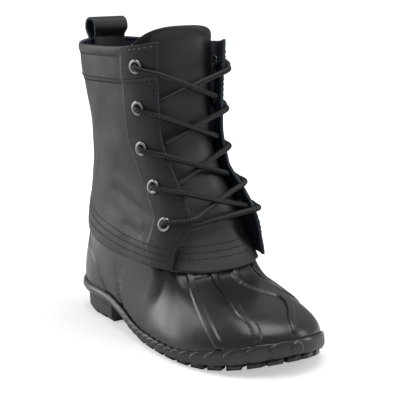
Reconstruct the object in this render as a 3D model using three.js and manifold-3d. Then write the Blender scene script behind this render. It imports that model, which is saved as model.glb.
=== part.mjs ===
import * as THREE from "three";
import { mergeVertices } from "three/addons/utils/BufferGeometryUtils.js";
import Module from "manifold-3d";

const wasm = await Module();
wasm.setup();

// A child's lace-up boot for the right foot: moulded rubber foot, leather shaft, five pairs of eyelets.
// Millimetres, +Z up. The toe points to -Y and the outer side of the foot is -X.
// Inside the tables, lengths are shares of the named size that each column follows.

// Overall sizes.
const SOLE_LENGTH = 196;
const BALL_WIDTH = 84;
const COLLAR_HEIGHT = 170;

// Sole.
const HEEL_LIFT = 13;
const TOE_SPRING = 8;
const WELT_HEIGHT = 22.5;
const SEAT_DROP = 3;
const LUG_DEPTH = 2.4;
const LUG_LENGTH = 9;
const LUG_WIDTH = 7;
const LUG_ROOT = 1;
const TREAD_BAR = 3.4;
const TREAD_PITCH = 10.5;
const LOBE_PITCH = 12.5;
const LOBE_DEPTH = 1.1;
const FOXING_STEP = 2.9;
const HEEL_BLOCK_LENGTH = 54;
const HEEL_INSET = 3.6;
const HEEL_GROOVE = 3;

// Walls and clearances.
const GAP = 0.3;
const RUBBER_WALL = 2.2;
const LEATHER_WALL = 1.8;
const TONGUE_WALL = 1.8;
const INSOLE_THICK = 3;
const INSOLE_BEVEL = 1;
const RUBBER_LAP = 11;
const EDGE_LAP = 1;

// Leather shaft and tongue.
const CUFF_DEPTH = 20;
const CUFF_STEP = 0.6;
const EYESTAY_WIDTH = 23;
const EYESTAY_STEP = 0.7;
const STEP_RUN = 0.8;
const TONGUE_RISE = 7;
const TONGUE_DROOP = 5;

// Vamp ribs, side grooves and heel counter of the rubber foot.
const RIB_WIDTH = 4.2;
const RIB_HEIGHT = 1.1;
const RIB_ROOT = 0.9;
const GROOVE_DEPTH = 0.7;
const COUNTER_STEP = 0.6;

// Pull loop at the back of the collar.
const LOOP_WIDTH = 23;
const LOOP_HEIGHT = 11;
const LOOP_DEPTH = 11;
const LOOP_THICK = 1.6;
const LOOP_TAIL = 11;

// Eyelets and lace.
const EYELET_COUNT = 5;
const EYELET_PITCH = 23.3;
const EYELET_DROP = 12;
const EYELET_INSET = 12.8;
const EYELET_OUTER = 8.4;
const EYELET_HOLE = 4.4;
const EYELET_LIP = 0.9;
const EYELET_SEAT = 0.45;
const LACE_THICK = 3.4;

// Plan of the sole's widest edge, from the heel to the toe.
// along: share of SOLE_LENGTH; outer and inner: shares of BALL_WIDTH to each side.
const OUTLINE = [
  { along: 0.015, outer: 0.15, inner: 0.14 },
  { along: 0.06, outer: 0.275, inner: 0.262 },
  { along: 0.14, outer: 0.352, inner: 0.325 },
  { along: 0.26, outer: 0.38, inner: 0.335 },
  { along: 0.38, outer: 0.412, inner: 0.342 },
  { along: 0.52, outer: 0.462, inner: 0.392 },
  { along: 0.66, outer: 0.498, inner: 0.47 },
  { along: 0.76, outer: 0.487, inner: 0.5 },
  { along: 0.86, outer: 0.418, inner: 0.474 },
  { along: 0.94, outer: 0.28, inner: 0.36 },
  { along: 0.985, outer: 0.1, inner: 0.205 },
];
const TOE_LEAN = 0.055;

// Side view of the sole.
// lift: share of HEEL_LIFT; spring: share of TOE_SPRING; both raise its underside.
// welt: share of WELT_HEIGHT, the top of the side band; lobes: share of LOBE_DEPTH.
const SOLE_SIDE = [
  { along: 0, lift: 1, spring: 0, welt: 1, lobes: 0 },
  { along: 0.06, lift: 1, spring: 0, welt: 0.89, lobes: 0 },
  { along: 0.12, lift: 1, spring: 0, welt: 0.84, lobes: 0 },
  { along: 0.27, lift: 1, spring: 0, welt: 0.8, lobes: 0 },
  { along: 0.37, lift: 0.62, spring: 0, welt: 0.63, lobes: 0.2 },
  { along: 0.46, lift: 0.14, spring: 0, welt: 0.42, lobes: 0.7 },
  { along: 0.53, lift: 0, spring: 0, welt: 0.35, lobes: 1 },
  { along: 0.68, lift: 0, spring: 0, welt: 0.34, lobes: 1 },
  { along: 0.78, lift: 0, spring: 0, welt: 0.42, lobes: 1 },
  { along: 0.88, lift: 0, spring: 0.24, welt: 0.6, lobes: 1 },
  { along: 0.95, lift: 0, spring: 0.62, welt: 0.77, lobes: 0.7 },
  { along: 1, lift: 0, spring: 1, welt: 0.87, lobes: 0.5 },
];

// Section of the band round the sole, from its bottom edge over the widest part to the seat.
// inset: share of FOXING_STEP inwards; height: share of the way from the tread to the welt.
// lobed: how much of the lobes' swell that row has.
const BAND = [
  { inset: 1.3, height: 0, lobed: 0.3 },
  { inset: 0.35, height: 0.1, lobed: 1 },
  { inset: 0, height: 0.55, lobed: 1 },
  { inset: 0.6, height: 1, lobed: 0.2 },
];

// Level sections of the upper, at heights that are shares of COLLAR_HEIGHT.
// back, front and vamp: shares of SOLE_LENGTH from the heel; outer, inner and shift: shares of BALL_WIDTH.
// front is where the flaps would meet, and vamp the front of the tongue and vamp that they stand clear of.
// shift moves the front end sideways; flare widens it; blunt and round: how square each end is.
const SECTIONS = [
  { up: 0.24, back: 0.02, front: 0.68, vamp: 0.672, outer: 0.43, inner: 0.42, shift: 0.05, flare: 0.13, blunt: 4.3, round: 2.3 },
  { up: 0.275, back: 0.02, front: 0.652, vamp: 0.64, outer: 0.43, inner: 0.42, shift: 0.05, flare: 0.12, blunt: 4.3, round: 2.3 },
  { up: 0.335, back: 0.022, front: 0.655, vamp: 0.602, outer: 0.42, inner: 0.41, shift: 0.05, flare: 0.09, blunt: 4, round: 2.3 },
  { up: 0.38, back: 0.027, front: 0.655, vamp: 0.58, outer: 0.408, inner: 0.398, shift: 0.055, flare: 0.07, blunt: 3.8, round: 2.3 },
  { up: 0.43, back: 0.037, front: 0.65, vamp: 0.565, outer: 0.393, inner: 0.383, shift: 0.055, flare: 0.05, blunt: 3.5, round: 2.3 },
  { up: 0.5, back: 0.052, front: 0.622, vamp: 0.538, outer: 0.377, inner: 0.367, shift: 0.045, flare: 0.02, blunt: 3.3, round: 2.3 },
  { up: 0.58, back: 0.065, front: 0.585, vamp: 0.508, outer: 0.362, inner: 0.352, shift: 0.025, flare: 0, blunt: 3, round: 2.3 },
  { up: 0.68, back: 0.062, front: 0.55, vamp: 0.484, outer: 0.362, inner: 0.352, shift: 0.008, flare: 0, blunt: 2.9, round: 2.3 },
  { up: 0.8, back: 0.042, front: 0.533, vamp: 0.481, outer: 0.382, inner: 0.372, shift: 0, flare: 0, blunt: 2.9, round: 2.3 },
  { up: 0.92, back: 0.026, front: 0.527, vamp: 0.474, outer: 0.402, inner: 0.392, shift: 0, flare: 0, blunt: 2.9, round: 2.3 },
  { up: 1.08, back: 0.018, front: 0.527, vamp: 0.468, outer: 0.412, inner: 0.402, shift: 0, flare: 0, blunt: 2.9, round: 2.3 },
];

// Lower edge of the leather, and the collar. turn: 0 at the back, 0.5 at the front; shares of COLLAR_HEIGHT.
const LEATHER_EDGE = [
  { turn: 0, up: 0.385 },
  { turn: 0.08, up: 0.357 },
  { turn: 0.17, up: 0.3 },
  { turn: 0.26, up: 0.276 },
  { turn: 0.34, up: 0.272 },
  { turn: 0.42, up: 0.272 },
  { turn: 0.5, up: 0.262 },
];
const COLLAR_EDGE = [
  { turn: 0, up: 0.985 },
  { turn: 0.15, up: 0.975 },
  { turn: 0.3, up: 0.985 },
  { turn: 0.42, up: 1.005 },
  { turn: 0.5, up: 1.01 },
];

// The throat between the front edges of the flaps, at shares of COLLAR_HEIGHT.
// half: half its width, and lean: how far its middle lies to the inner side, as shares of BALL_WIDTH.
// stay: width of the eyestay behind that edge, as a share of EYESTAY_WIDTH.
// inset: how far the eyelets lie behind that edge, as a share of EYELET_INSET.
// tuck: how far the tongue's side edge lies behind that edge, as a share of the way round.
const THROAT = [
  { up: 0.27, half: 0.385, lean: -0.005, stay: 0.6, inset: 1, tuck: 0.025 },
  { up: 0.33, half: 0.36, lean: -0.005, stay: 0.85, inset: 1, tuck: 0.03 },
  { up: 0.38, half: 0.315, lean: 0.012, stay: 1, inset: 1.1, tuck: 0.035 },
  { up: 0.43, half: 0.29, lean: 0.03, stay: 1.05, inset: 1.25, tuck: 0.028 },
  { up: 0.55, half: 0.285, lean: 0.036, stay: 1.08, inset: 1.35, tuck: 0.022 },
  { up: 0.68, half: 0.285, lean: 0.024, stay: 1.05, inset: 1.1, tuck: 0.026 },
  { up: 0.8, half: 0.277, lean: 0.017, stay: 1.05, inset: 1, tuck: 0.05 },
  { up: 1.04, half: 0.277, lean: 0.015, stay: 1.05, inset: 1, tuck: 0.08 },
];

// Where a spoke of the rubber foot starts on the sole, and which part of the level section it runs to.
// edge: share of the way round the sole; turn: share of the way round the section.
const SPOKES = [
  { edge: 0, turn: 0 },
  { edge: 0.06, turn: 0.105 },
  { edge: 0.17, turn: 0.25 },
  { edge: 0.29, turn: 0.365 },
  { edge: 0.4, turn: 0.435 },
  { edge: 0.5, turn: 0.5 },
];

// Fullness of the rubber foot along a spoke, as shares of the spoke's own length.
// rise: how far it climbs before turning in; draw: how early it turns in; bulge: how far it leans out.
const FULLNESS = [
  { edge: 0, rise: 0.9, draw: 0.8, bulge: 0.22 },
  { edge: 0.17, rise: 0.9, draw: 0.8, bulge: 0.1 },
  { edge: 0.29, rise: 0.85, draw: 0.75, bulge: 0.12 },
  { edge: 0.4, rise: 0.78, draw: 0.7, bulge: 0.1 },
  { edge: 0.5, rise: 0.7, draw: 0.62, bulge: 0.05 },
];

// Ribs over the vamp of the rubber foot, from the leather's edge down to the band.
// top and toe: where each end lies, as a share of the way round the sole; bow: how far the middle strays.
// from and to: shares of the way up the rubber.
const RIBS = [
  { top: 0.428, toe: 0.405, bow: -0.01, from: 0.8, to: 0.1 },
  { top: 0.495, toe: 0.455, bow: -0.004, from: 0.8, to: 0.1 },
  { top: 0.506, toe: 0.504, bow: 0.028, from: 0.8, to: 0.13 },
  { top: 0.579, toe: 0.615, bow: -0.004, from: 0.8, to: 0.33 },
];

// A shallow groove runs down each side, with the same columns.
const GROOVES = [
  { top: 0.171, toe: 0.184, bow: -0.004, from: 0.82, to: 0.13 },
  { top: 0.829, toe: 0.816, bow: 0.004, from: 0.82, to: 0.13 },
];

// Front edge of the heel counter: share of the way round the sole, at shares of the way up the rubber.
const COUNTER = [
  { share: 0.1, edge: 0.14 },
  { share: 0.22, edge: 0.132 },
  { share: 0.34, edge: 0.122 },
  { share: 0.46, edge: 0.108 },
  { share: 0.56, edge: 0.08 },
  { share: 0.68, edge: 0.06 },
  { share: 0.82, edge: 0.05 },
];

// Values between the rows of a table: smooth, with no overshoot, and level beyond the first and last row.
function readTable(rows, by, column) {
  const at = rows.map((row) => row[by]);
  const value = rows.map((row) => row[column]);
  const slope = at.slice(1).map((x, i) => (value[i + 1] - value[i]) / (x - at[i]));
  const tangent = at.map((_, i) => {
    const before = slope[Math.max(i - 1, 0)];
    const after = slope[Math.min(i, slope.length - 1)];
    return before * after <= 0 ? 0 : (2 * before * after) / (before + after);
  });
  return (x) => {
    if (x <= at[0]) return value[0];
    if (x >= at[at.length - 1]) return value[at.length - 1];
    const i = at.findIndex((next) => next > x) - 1;
    const run = at[i + 1] - at[i];
    const t = (x - at[i]) / run;
    const rest = 1 - t;
    return (
      value[i] * rest * rest * (1 + 2 * t) +
      tangent[i] * run * t * rest * rest +
      value[i + 1] * t * t * (3 - 2 * t) -
      tangent[i + 1] * run * t * t * rest
    );
  };
}

const heelY = SOLE_LENGTH / 2;
const treadHeight = (along) => {
  const lift = readSole.lift(along) * HEEL_LIFT;
  return lift + readSole.spring(along) * TOE_SPRING;
};
const readSole = {
  lift: readTable(SOLE_SIDE, "along", "lift"),
  spring: readTable(SOLE_SIDE, "along", "spring"),
  welt: readTable(SOLE_SIDE, "along", "welt"),
  lobes: readTable(SOLE_SIDE, "along", "lobes"),
};
const alongAt = (y) => (heelY - y) / SOLE_LENGTH;
const weltHeight = (along) => readSole.welt(along) * WELT_HEIGHT;
const seatHeight = (along) => weltHeight(along) - SEAT_DROP;

// The plan outline as a closed curve that starts at the back of the heel and runs up the outer side.
function soleCurve() {
  const spot = (share, along) => new THREE.Vector3(share * BALL_WIDTH, heelY - along * SOLE_LENGTH, 0);
  const outer = OUTLINE.map((row) => spot(-row.outer, row.along));
  const inner = OUTLINE.map((row) => spot(row.inner, row.along)).reverse();
  const points = [spot(0, 0), ...outer, spot(TOE_LEAN, 1), ...inner];
  const curve = new THREE.CatmullRomCurve3(points, true, "centripetal");
  curve.arcLengthDivisions = 600;
  return curve;
}
const outlineCurve = soleCurve();
const outlineLength = outlineCurve.getLength();

// A point of the outline, moved inwards by a distance. edge: 0 at the heel, 0.5 about the toe, 1 at the heel again.
function outlinePoint(edge, inset) {
  const share = ((edge % 1) + 1) % 1;
  const point = outlineCurve.getPointAt(share);
  const tangent = outlineCurve.getTangentAt(share);
  return new THREE.Vector3(point.x - tangent.y * inset, point.y + tangent.x * inset, 0);
}

const section = {};
for (const column of Object.keys(SECTIONS[0])) section[column] = readTable(SECTIONS, "up", column);
const signedPower = (value, power) => Math.sign(value) * Math.abs(value) ** power;

// A point of a level section. turn: 0 at the back, 0.5 at the front by the outer side, -0.5 by the inner.
function levelPoint(height, turn, front) {
  const up = height / COLLAR_HEIGHT;
  const centreY = heelY - ((section.back(up) + section.front(up)) / 2) * SOLE_LENGTH;
  const angle = 2 * Math.PI * turn;
  const aside = Math.sin(angle);
  const power = 2 / (Math.cos(angle) < 0 ? section.blunt(up) : section.round(up));
  const ahead = -signedPower(Math.cos(angle), power);
  const half = (aside > 0 ? section.outer(up) : section.inner(up)) * BALL_WIDTH;
  const middle = section.shift(up) * BALL_WIDTH * ((1 + ahead) / 2);
  const endY = heelY - (ahead > 0 ? front(up) : section.back(up)) * SOLE_LENGTH;
  return new THREE.Vector3(
    middle - half * (1 + section.flare(up) * ahead) * signedPower(aside, power),
    centreY + (endY - centreY) * Math.abs(ahead),
    height,
  );
}

// The leather shaft's outer face, and the outer face of the vamp, the tongue and what lies under the leather.
const shaftPoint = (height, turn) => levelPoint(height, turn, section.front);
const vampPoint = (height, turn) => levelPoint(height, turn, section.vamp);

// The outward direction of a surface given as a function of two numbers.
function normalOf(surface, u, v, du, dv) {
  const across = surface(u + du, v).sub(surface(u - du, v));
  const along = surface(u, v + dv).sub(surface(u, v - dv));
  return across.cross(along).normalize();
}
function levelNormal(surface, height, turn) {
  return normalOf((u, v) => surface(v, u), turn, height, 0.004, 0.5);
}

// A point that lies a distance inside one of those faces.
function inside(surface, height, turn, depth) {
  return surface(height, turn).addScaledVector(levelNormal(surface, height, turn), -depth);
}

// Closed solid from rows of points of an outer and an inner face, and the same columns in both.
function wallSolid(outer, inner, ring) {
  const rows = outer.length;
  const columns = outer[0].length;
  const spans = ring ? columns : columns - 1;
  const position = [...outer.flat(), ...inner.flat()].flatMap((p) => [p.x, p.y, p.z]);
  const out = (row, column) => row * columns + (column % columns);
  const inn = (row, column) => rows * columns + out(row, column);
  const index = [];
  const quad = (a, b, c, d) => index.push(a, b, c, a, c, d);
  for (let row = 0; row < rows - 1; row++)
    for (let column = 0; column < spans; column++) {
      quad(out(row, column), out(row, column + 1), out(row + 1, column + 1), out(row + 1, column));
      quad(inn(row, column), inn(row + 1, column), inn(row + 1, column + 1), inn(row, column + 1));
    }
  for (let column = 0; column < spans; column++) {
    quad(out(0, column), inn(0, column), inn(0, column + 1), out(0, column + 1));
    quad(out(rows - 1, column), out(rows - 1, column + 1), inn(rows - 1, column + 1), inn(rows - 1, column));
  }
  if (!ring)
    for (let row = 0; row < rows - 1; row++) {
      quad(out(row, 0), out(row + 1, 0), inn(row + 1, 0), inn(row, 0));
      const last = columns - 1;
      quad(out(row, last), inn(row, last), inn(row + 1, last), out(row + 1, last));
    }
  return indexed(position, index);
}

// Closed solid from rings of points stacked one over the other, with a ladder of strips across both ends.
function stackSolid(rings) {
  const count = rings[0].length;
  const position = rings.flat().flatMap((p) => [p.x, p.y, p.z]);
  const index = [];
  for (let ring = 0; ring < rings.length - 1; ring++)
    for (let i = 0; i < count; i++) {
      const next = (i + 1) % count;
      const a = ring * count + i;
      const b = ring * count + next;
      index.push(a, b, b + count, a, b + count, a + count);
    }
  const ladder = (first, flip) => {
    const add = (a, b, c) => index.push(first + a, first + (flip ? c : b), first + (flip ? b : c));
    let low = 0;
    let high = count - 1;
    while (high - low > 1) {
      if (low < count - high) {
        add(low, low + 1, high);
        low += 1;
      } else {
        add(low, high - 1, high);
        high -= 1;
      }
    }
  };
  ladder(0, true);
  ladder((rings.length - 1) * count, false);
  return indexed(position, index);
}

function indexed(position, index) {
  const geometry = new THREE.BufferGeometry();
  geometry.setAttribute("position", new THREE.Float32BufferAttribute(position, 3));
  geometry.setIndex(index);
  return geometry;
}

// Conversion to and from solids that can be joined and cut.
function toSolid(geometry) {
  const plain = geometry.clone();
  for (const name of Object.keys(plain.attributes)) if (name !== "position") plain.deleteAttribute(name);
  const merged = mergeVertices(plain, 1e-4);
  return new wasm.Manifold(
    new wasm.Mesh({
      numProp: 3,
      vertProperties: new Float32Array(merged.attributes.position.array),
      triVerts: new Uint32Array(merged.index.array),
    }),
  );
}
function toGeometry(solid) {
  const mesh = solid.getMesh();
  const position = [];
  for (let i = 0; i < mesh.vertProperties.length; i += mesh.numProp)
    position.push(...mesh.vertProperties.subarray(i, i + 3));
  return indexed(position, [...mesh.triVerts]);
}

const rubber = new THREE.MeshStandardMaterial({ color: 0x2b3033, roughness: 0.42, metalness: 0 });
const soleRubber = new THREE.MeshStandardMaterial({ color: 0x2a2e30, roughness: 0.55, metalness: 0 });
const heelRubber = new THREE.MeshStandardMaterial({ color: 0x4a4c4c, roughness: 0.8, metalness: 0 });
const leather = new THREE.MeshStandardMaterial({ color: 0x2a2d2f, roughness: 0.5, metalness: 0 });
const tongueLeather = new THREE.MeshStandardMaterial({ color: 0x222526, roughness: 0.55, metalness: 0 });
const lining = new THREE.MeshStandardMaterial({ color: 0x2a303a, roughness: 0.9, metalness: 0 });
const steel = new THREE.MeshStandardMaterial({ color: 0x8d9092, roughness: 0.35, metalness: 0.9 });
const braid = new THREE.MeshStandardMaterial({ color: 0x101112, roughness: 0.85, metalness: 0 });

const boot = new THREE.Group();

function addPart(name, geometry, material) {
  const mesh = new THREE.Mesh(geometry, material);
  mesh.name = name;
  boot.add(mesh);
  return mesh;
}

// The sole's band swells into overlapping lobes from the waist to the toe.
const lobeCount = Math.round(outlineLength / LOBE_PITCH);
function lobeSwell(edge, along) {
  const wave = Math.abs(Math.sin(Math.PI * edge * lobeCount));
  return readSole.lobes(along) * LOBE_DEPTH * (wave - 1);
}

// Outsole: band, underside and the seat that the rubber foot stands on.
const EDGES_PER_LOBE = 3;
function outsoleBody() {
  const count = EDGES_PER_LOBE * lobeCount;
  const edges = Array.from({ length: count }, (_, i) => i / count);
  const rings = BAND.map((row) =>
    edges.map((edge) => {
      const along = alongAt(outlinePoint(edge, 0).y);
      const swell = lobeSwell(edge, along) * row.lobed;
      const point = outlinePoint(edge, row.inset * FOXING_STEP - swell);
      const lugs = readSole.lift(along) > 0.02 ? LUG_DEPTH * (1 - readSole.lift(along)) : LUG_DEPTH;
      const low = treadHeight(along) + lugs;
      point.z = low + row.height * (weltHeight(along) - low);
      return point;
    }),
  );
  const seat = edges.map((edge) => {
    const point = outlinePoint(edge, FOXING_STEP - GAP);
    point.z = seatHeight(alongAt(outlinePoint(edge, 0).y));
    return point;
  });
  return stackSolid([...rings, seat]);
}

// A lug is a plan polygon carried down from inside the outsole to the tread surface.
function lug(corners) {
  const base = corners.map(([x, y]) => {
    const along = alongAt(y);
    return new THREE.Vector3(x, y, treadHeight(along) + LUG_DEPTH + LUG_ROOT);
  });
  const foot = corners.map(([x, y]) => new THREE.Vector3(x, y, treadHeight(alongAt(y))));
  return stackSolid([foot, base]);
}

function edgeLugs() {
  const count = Math.round(outlineLength / LUG_LENGTH / 1.35);
  const lugs = [];
  for (let i = 0; i < count; i++) {
    const edge = (i + 0.5) / count;
    const reach = LUG_LENGTH / 2 / outlineLength;
    const along = alongAt(outlinePoint(edge, 0).y);
    if (readSole.lift(along) > 0.12) continue;
    const near = FOXING_STEP * 1.1;
    const corners = [
      outlinePoint(edge - reach, near),
      outlinePoint(edge + reach, near),
      outlinePoint(edge + reach * 0.85, near + LUG_WIDTH),
      outlinePoint(edge - reach * 0.85, near + LUG_WIDTH),
    ];
    lugs.push(lug(corners.map((p) => [p.x, p.y])));
  }
  return lugs;
}

// Widths of the sole at a distance from the heel, from the same outline.
const outlineSide = {
  outer: readTable([{ along: 0, outer: 0 }, ...OUTLINE, { along: 1, outer: -TOE_LEAN }], "along", "outer"),
  inner: readTable([{ along: 0, inner: 0 }, ...OUTLINE, { along: 1, inner: TOE_LEAN }], "along", "inner"),
};

function treadBars() {
  const bars = [];
  const margin = FOXING_STEP * 1.1 + LUG_WIDTH + HEEL_GROOVE;
  for (let along = 0.5; along < 0.93; along += TREAD_PITCH / SOLE_LENGTH) {
    const left = -outlineSide.outer(along) * BALL_WIDTH + margin;
    const right = outlineSide.inner(along) * BALL_WIDTH - margin;
    if (right - left < 2 * TREAD_BAR) continue;
    const steps = 4;
    const rail = (offset) =>
      Array.from({ length: steps + 1 }, (_, i) => {
        const x = left + ((right - left) * i) / steps;
        const zigzag = i % 2 ? TREAD_BAR / 2 : -TREAD_BAR / 2;
        return [x, heelY - along * SOLE_LENGTH + zigzag + offset];
      });
    bars.push(lug([...rail(-TREAD_BAR / 2), ...rail(TREAD_BAR / 2).reverse()]));
  }
  return bars;
}

function outsole() {
  let solid = toSolid(outsoleBody());
  for (const piece of [...edgeLugs(), ...treadBars()]) solid = solid.add(toSolid(piece));
  return toGeometry(solid);
}

addPart("outsole", outsole(), soleRubber);

// Heel block: a short rubber heel under the back of the outsole, bevelled at its foot and grooved across.
const HEEL_EDGES = 32;
const HEEL_RINGS = [
  { inset: 1.6, height: 0 },
  { inset: 1.15, height: 0.2 },
  { inset: 1, height: 1 },
];
const HEEL_GROOVES = [0.24, 0.45, 0.66, 0.86];

// Share of the way round the outline at which its outer side passes a distance from the heel.
function edgeAt(distance) {
  let low = 0;
  let high = 0.5;
  for (let i = 0; i < 40; i++) {
    const middle = (low + high) / 2;
    if (heelY - outlinePoint(middle, 0).y < distance) low = middle;
    else high = middle;
  }
  return low;
}

function heelBlock() {
  const reach = edgeAt(HEEL_BLOCK_LENGTH);
  const rings = HEEL_RINGS.map((row) =>
    Array.from({ length: HEEL_EDGES }, (_, i) => {
      const share = i <= HEEL_EDGES / 2 ? i / HEEL_EDGES : (i - HEEL_EDGES) / HEEL_EDGES;
      const spread = i === HEEL_EDGES / 2 ? 1 : 2 * share * (1 + 1 / HEEL_EDGES);
      const point = outlinePoint(spread * reach, row.inset * HEEL_INSET);
      point.z = row.height * (HEEL_LIFT - GAP);
      return point;
    }),
  );
  let solid = toSolid(stackSolid(rings));
  for (const share of HEEL_GROOVES) {
    const groove = new THREE.BoxGeometry(BALL_WIDTH, HEEL_GROOVE, LUG_DEPTH * 2);
    groove.translate(0, heelY - share * HEEL_BLOCK_LENGTH, 0);
    solid = solid.subtract(toSolid(groove));
  }
  return toGeometry(solid);
}

addPart("heel_block", heelBlock(), heelRubber);

// Insole: a flat bed on the outsole's seat, inside the rubber wall.
const INSOLE_EDGES = 40;
function insole() {
  const inset = FOXING_STEP + RUBBER_WALL + 3 * GAP;
  const ring = (inward, lift) =>
    Array.from({ length: INSOLE_EDGES }, (_, i) => {
      const point = outlinePoint(i / INSOLE_EDGES, inset + inward);
      point.z = seatHeight(alongAt(outlinePoint(i / INSOLE_EDGES, 0).y)) + lift;
      return point;
    });
  return stackSolid([ring(0, GAP), ring(0, GAP + INSOLE_THICK * 0.7), ring(INSOLE_BEVEL, GAP + INSOLE_THICK)]);
}

addPart("insole", insole(), lining);

// Edges of the leather as heights. side: 1 on the outer side, -1 on the inner.
const leatherEdge = readTable(LEATHER_EDGE, "turn", "up");
const collarEdge = readTable(COLLAR_EDGE, "turn", "up");
const leatherLow = (turn) => leatherEdge(Math.abs(turn)) * COLLAR_HEIGHT;
const collarHigh = (turn) => collarEdge(Math.abs(turn)) * COLLAR_HEIGHT;
const throatHalf = readTable(THROAT, "up", "half");
const throatLean = readTable(THROAT, "up", "lean");
const stayShare = readTable(THROAT, "up", "stay");
const insetShare = readTable(THROAT, "up", "inset");
const tongueTuck = readTable(THROAT, "up", "tuck");

// The turn of a flap's front edge: there the shaft is as far from the throat's middle as THROAT says.
function flapTurn(height, side) {
  const up = height / COLLAR_HEIGHT;
  const target = throatHalf(up) * BALL_WIDTH;
  const middle = (section.shift(up) + throatLean(up)) * BALL_WIDTH;
  let low = 0.25;
  let high = 0.5;
  for (let i = 0; i < 30; i++) {
    const turn = (low + high) / 2;
    if (Math.abs(shaftPoint(height, side * turn).x - middle) > target) low = turn;
    else high = turn;
  }
  return side * low;
}

// Walk round a flap at one height, from its front edge to the back of the boot.
const WALK_STEPS = 60;
const walks = new Map();
function walkBack(height, side) {
  const key = height.toFixed(3) + (side > 0 ? "outer" : "inner");
  if (walks.has(key)) return walks.get(key);
  const start = flapTurn(height, side);
  const marks = [{ turn: start, behind: 0 }];
  let last = shaftPoint(height, start);
  for (let i = 1; i <= WALK_STEPS; i++) {
    const turn = start * (1 - i / WALK_STEPS);
    const next = shaftPoint(height, turn);
    marks.push({ turn, behind: marks[i - 1].behind + next.distanceTo(last) });
    last = next;
  }
  walks.set(key, marks);
  return marks;
}
function turnBehind(height, side, behind) {
  const marks = walkBack(height, side);
  const i = Math.max(marks.findIndex((mark) => mark.behind >= behind), 1);
  const a = marks[i - 1];
  const b = marks[i];
  return a.turn + ((b.turn - a.turn) * (behind - a.behind)) / (b.behind - a.behind);
}
const girth = (height, side) => walkBack(height, side)[WALK_STEPS].behind;

// Height at which a column of the leather meets an edge that is given by the turn.
function meetEdge(edgeHeight, side, behindAt) {
  let height = edgeHeight(0.4);
  for (let i = 0; i < 6; i++) height = edgeHeight(turnBehind(height, side, behindAt(height)));
  return height;
}
const tipHeight = { 1: meetEdge(leatherLow, 1, () => 0), [-1]: meetEdge(leatherLow, -1, () => 0) };
// Rubber foot: spokes rise from the outsole's seat and end under the leather.
const spokeTurn = readTable(SPOKES, "edge", "turn");
const fullness = {
  rise: readTable(FULLNESS, "edge", "rise"),
  draw: readTable(FULLNESS, "edge", "draw"),
  bulge: readTable(FULLNESS, "edge", "bulge"),
};

// Share of a spoke that shows below the leather; the rest follows the leather's inside.
const OPEN_SHARE = 0.85;

// Thickness of leather over the rubber: one layer at the sides, two where the vamp lies under the flaps.
const LAP_RUN = 0.05;
function leatherOver(turn) {
  const flank = turn < 0 ? -1 : 1;
  const side = Math.abs(flapTurn(tipHeight[flank], flank)) - tongueTuck(tipHeight[flank] / COLLAR_HEIGHT);
  const double = THREE.MathUtils.smoothstep(Math.abs(turn), side - LAP_RUN, side - 0.012);
  return LEATHER_WALL + 2 * GAP + double * (TONGUE_WALL + 2 * GAP);
}

function rubberPoint(edge, share) {
  const side = edge > 0.5 ? edge - 1 : edge;
  const key = Math.abs(side);
  const turn = Math.sign(side) * spokeTurn(key);
  const depth = leatherOver(turn);
  const lapFrom = leatherLow(turn) - EDGE_LAP;
  if (share > OPEN_SHARE) {
    const lap = (share - OPEN_SHARE) / (1 - OPEN_SHARE);
    return inside(vampPoint, lapFrom + lap * RUBBER_LAP, turn, depth);
  }
  const foot = outlinePoint(edge, FOXING_STEP);
  foot.z = seatHeight(alongAt(outlinePoint(edge, 0).y)) + 2 * GAP;
  const top = inside(vampPoint, lapFrom, turn, depth);
  const above = inside(vampPoint, lapFrom + EDGE_LAP, turn, depth);
  const reach = foot.distanceTo(top);
  const outward = outlinePoint(edge, FOXING_STEP).sub(outlinePoint(edge, FOXING_STEP + 1));
  const start = outward.multiplyScalar(fullness.bulge(key)).setZ(fullness.rise(key)).multiplyScalar(reach);
  const end = above.clone().sub(top).normalize().multiplyScalar(fullness.draw(key) * reach);
  const t = share / OPEN_SHARE;
  const rest = 1 - t;
  return foot
    .multiplyScalar(rest * rest * (1 + 2 * t))
    .addScaledVector(start, t * rest * rest)
    .addScaledVector(top, t * t * (3 - 2 * t))
    .addScaledVector(end, -t * t * rest);
}
function rubberNormal(edge, share) {
  const inside = THREE.MathUtils.clamp(share, 0.01, 0.99);
  const normal = normalOf(rubberPoint, edge, inside, 0.002, 0.01);
  return share === 0 ? normal.setZ(0).normalize() : normal;
}

const RUBBER_EDGES = 56;
const RUBBER_ROWS = [0, 0.1, 0.22, 0.35, 0.48, 0.61, 0.74, OPEN_SHARE, 1];
function rubberFoot() {
  const grid = (depth) =>
    RUBBER_ROWS.map((share) =>
      Array.from({ length: RUBBER_EDGES }, (_, column) => {
        const edge = column / RUBBER_EDGES;
        return rubberPoint(edge, share).addScaledVector(rubberNormal(edge, share), -depth);
      }),
    );
  let solid = toSolid(wallSolid(grid(0), grid(RUBBER_WALL), true));
  solid = solid.add(toSolid(counterSolid()));
  for (const rib of RIBS) solid = solid.add(toSolid(ribSolid(rib, -RIB_ROOT, RIB_HEIGHT)));
  for (const groove of GROOVES) solid = solid.subtract(toSolid(ribSolid(groove, RIB_ROOT, -GROOVE_DEPTH)));
  return toGeometry(solid);
}

// The heel counter is a thicker layer round the heel, as far forward as COUNTER says.
const counterEdge = readTable(COUNTER, "share", "edge");
const COUNTER_COLUMNS = 10;
function counterSolid() {
  const shares = COUNTER.map((row) => row.share);
  const grid = (lift) =>
    shares.map((share) =>
      Array.from({ length: COUNTER_COLUMNS + 1 }, (_, column) => {
        const edge = ((2 * column) / COUNTER_COLUMNS - 1) * counterEdge(share);
        return rubberPoint((edge + 1) % 1, share).addScaledVector(rubberNormal((edge + 1) % 1, share), lift);
      }),
    );
  return wallSolid(grid(COUNTER_STEP), grid(-RIB_ROOT), false);
}

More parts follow.
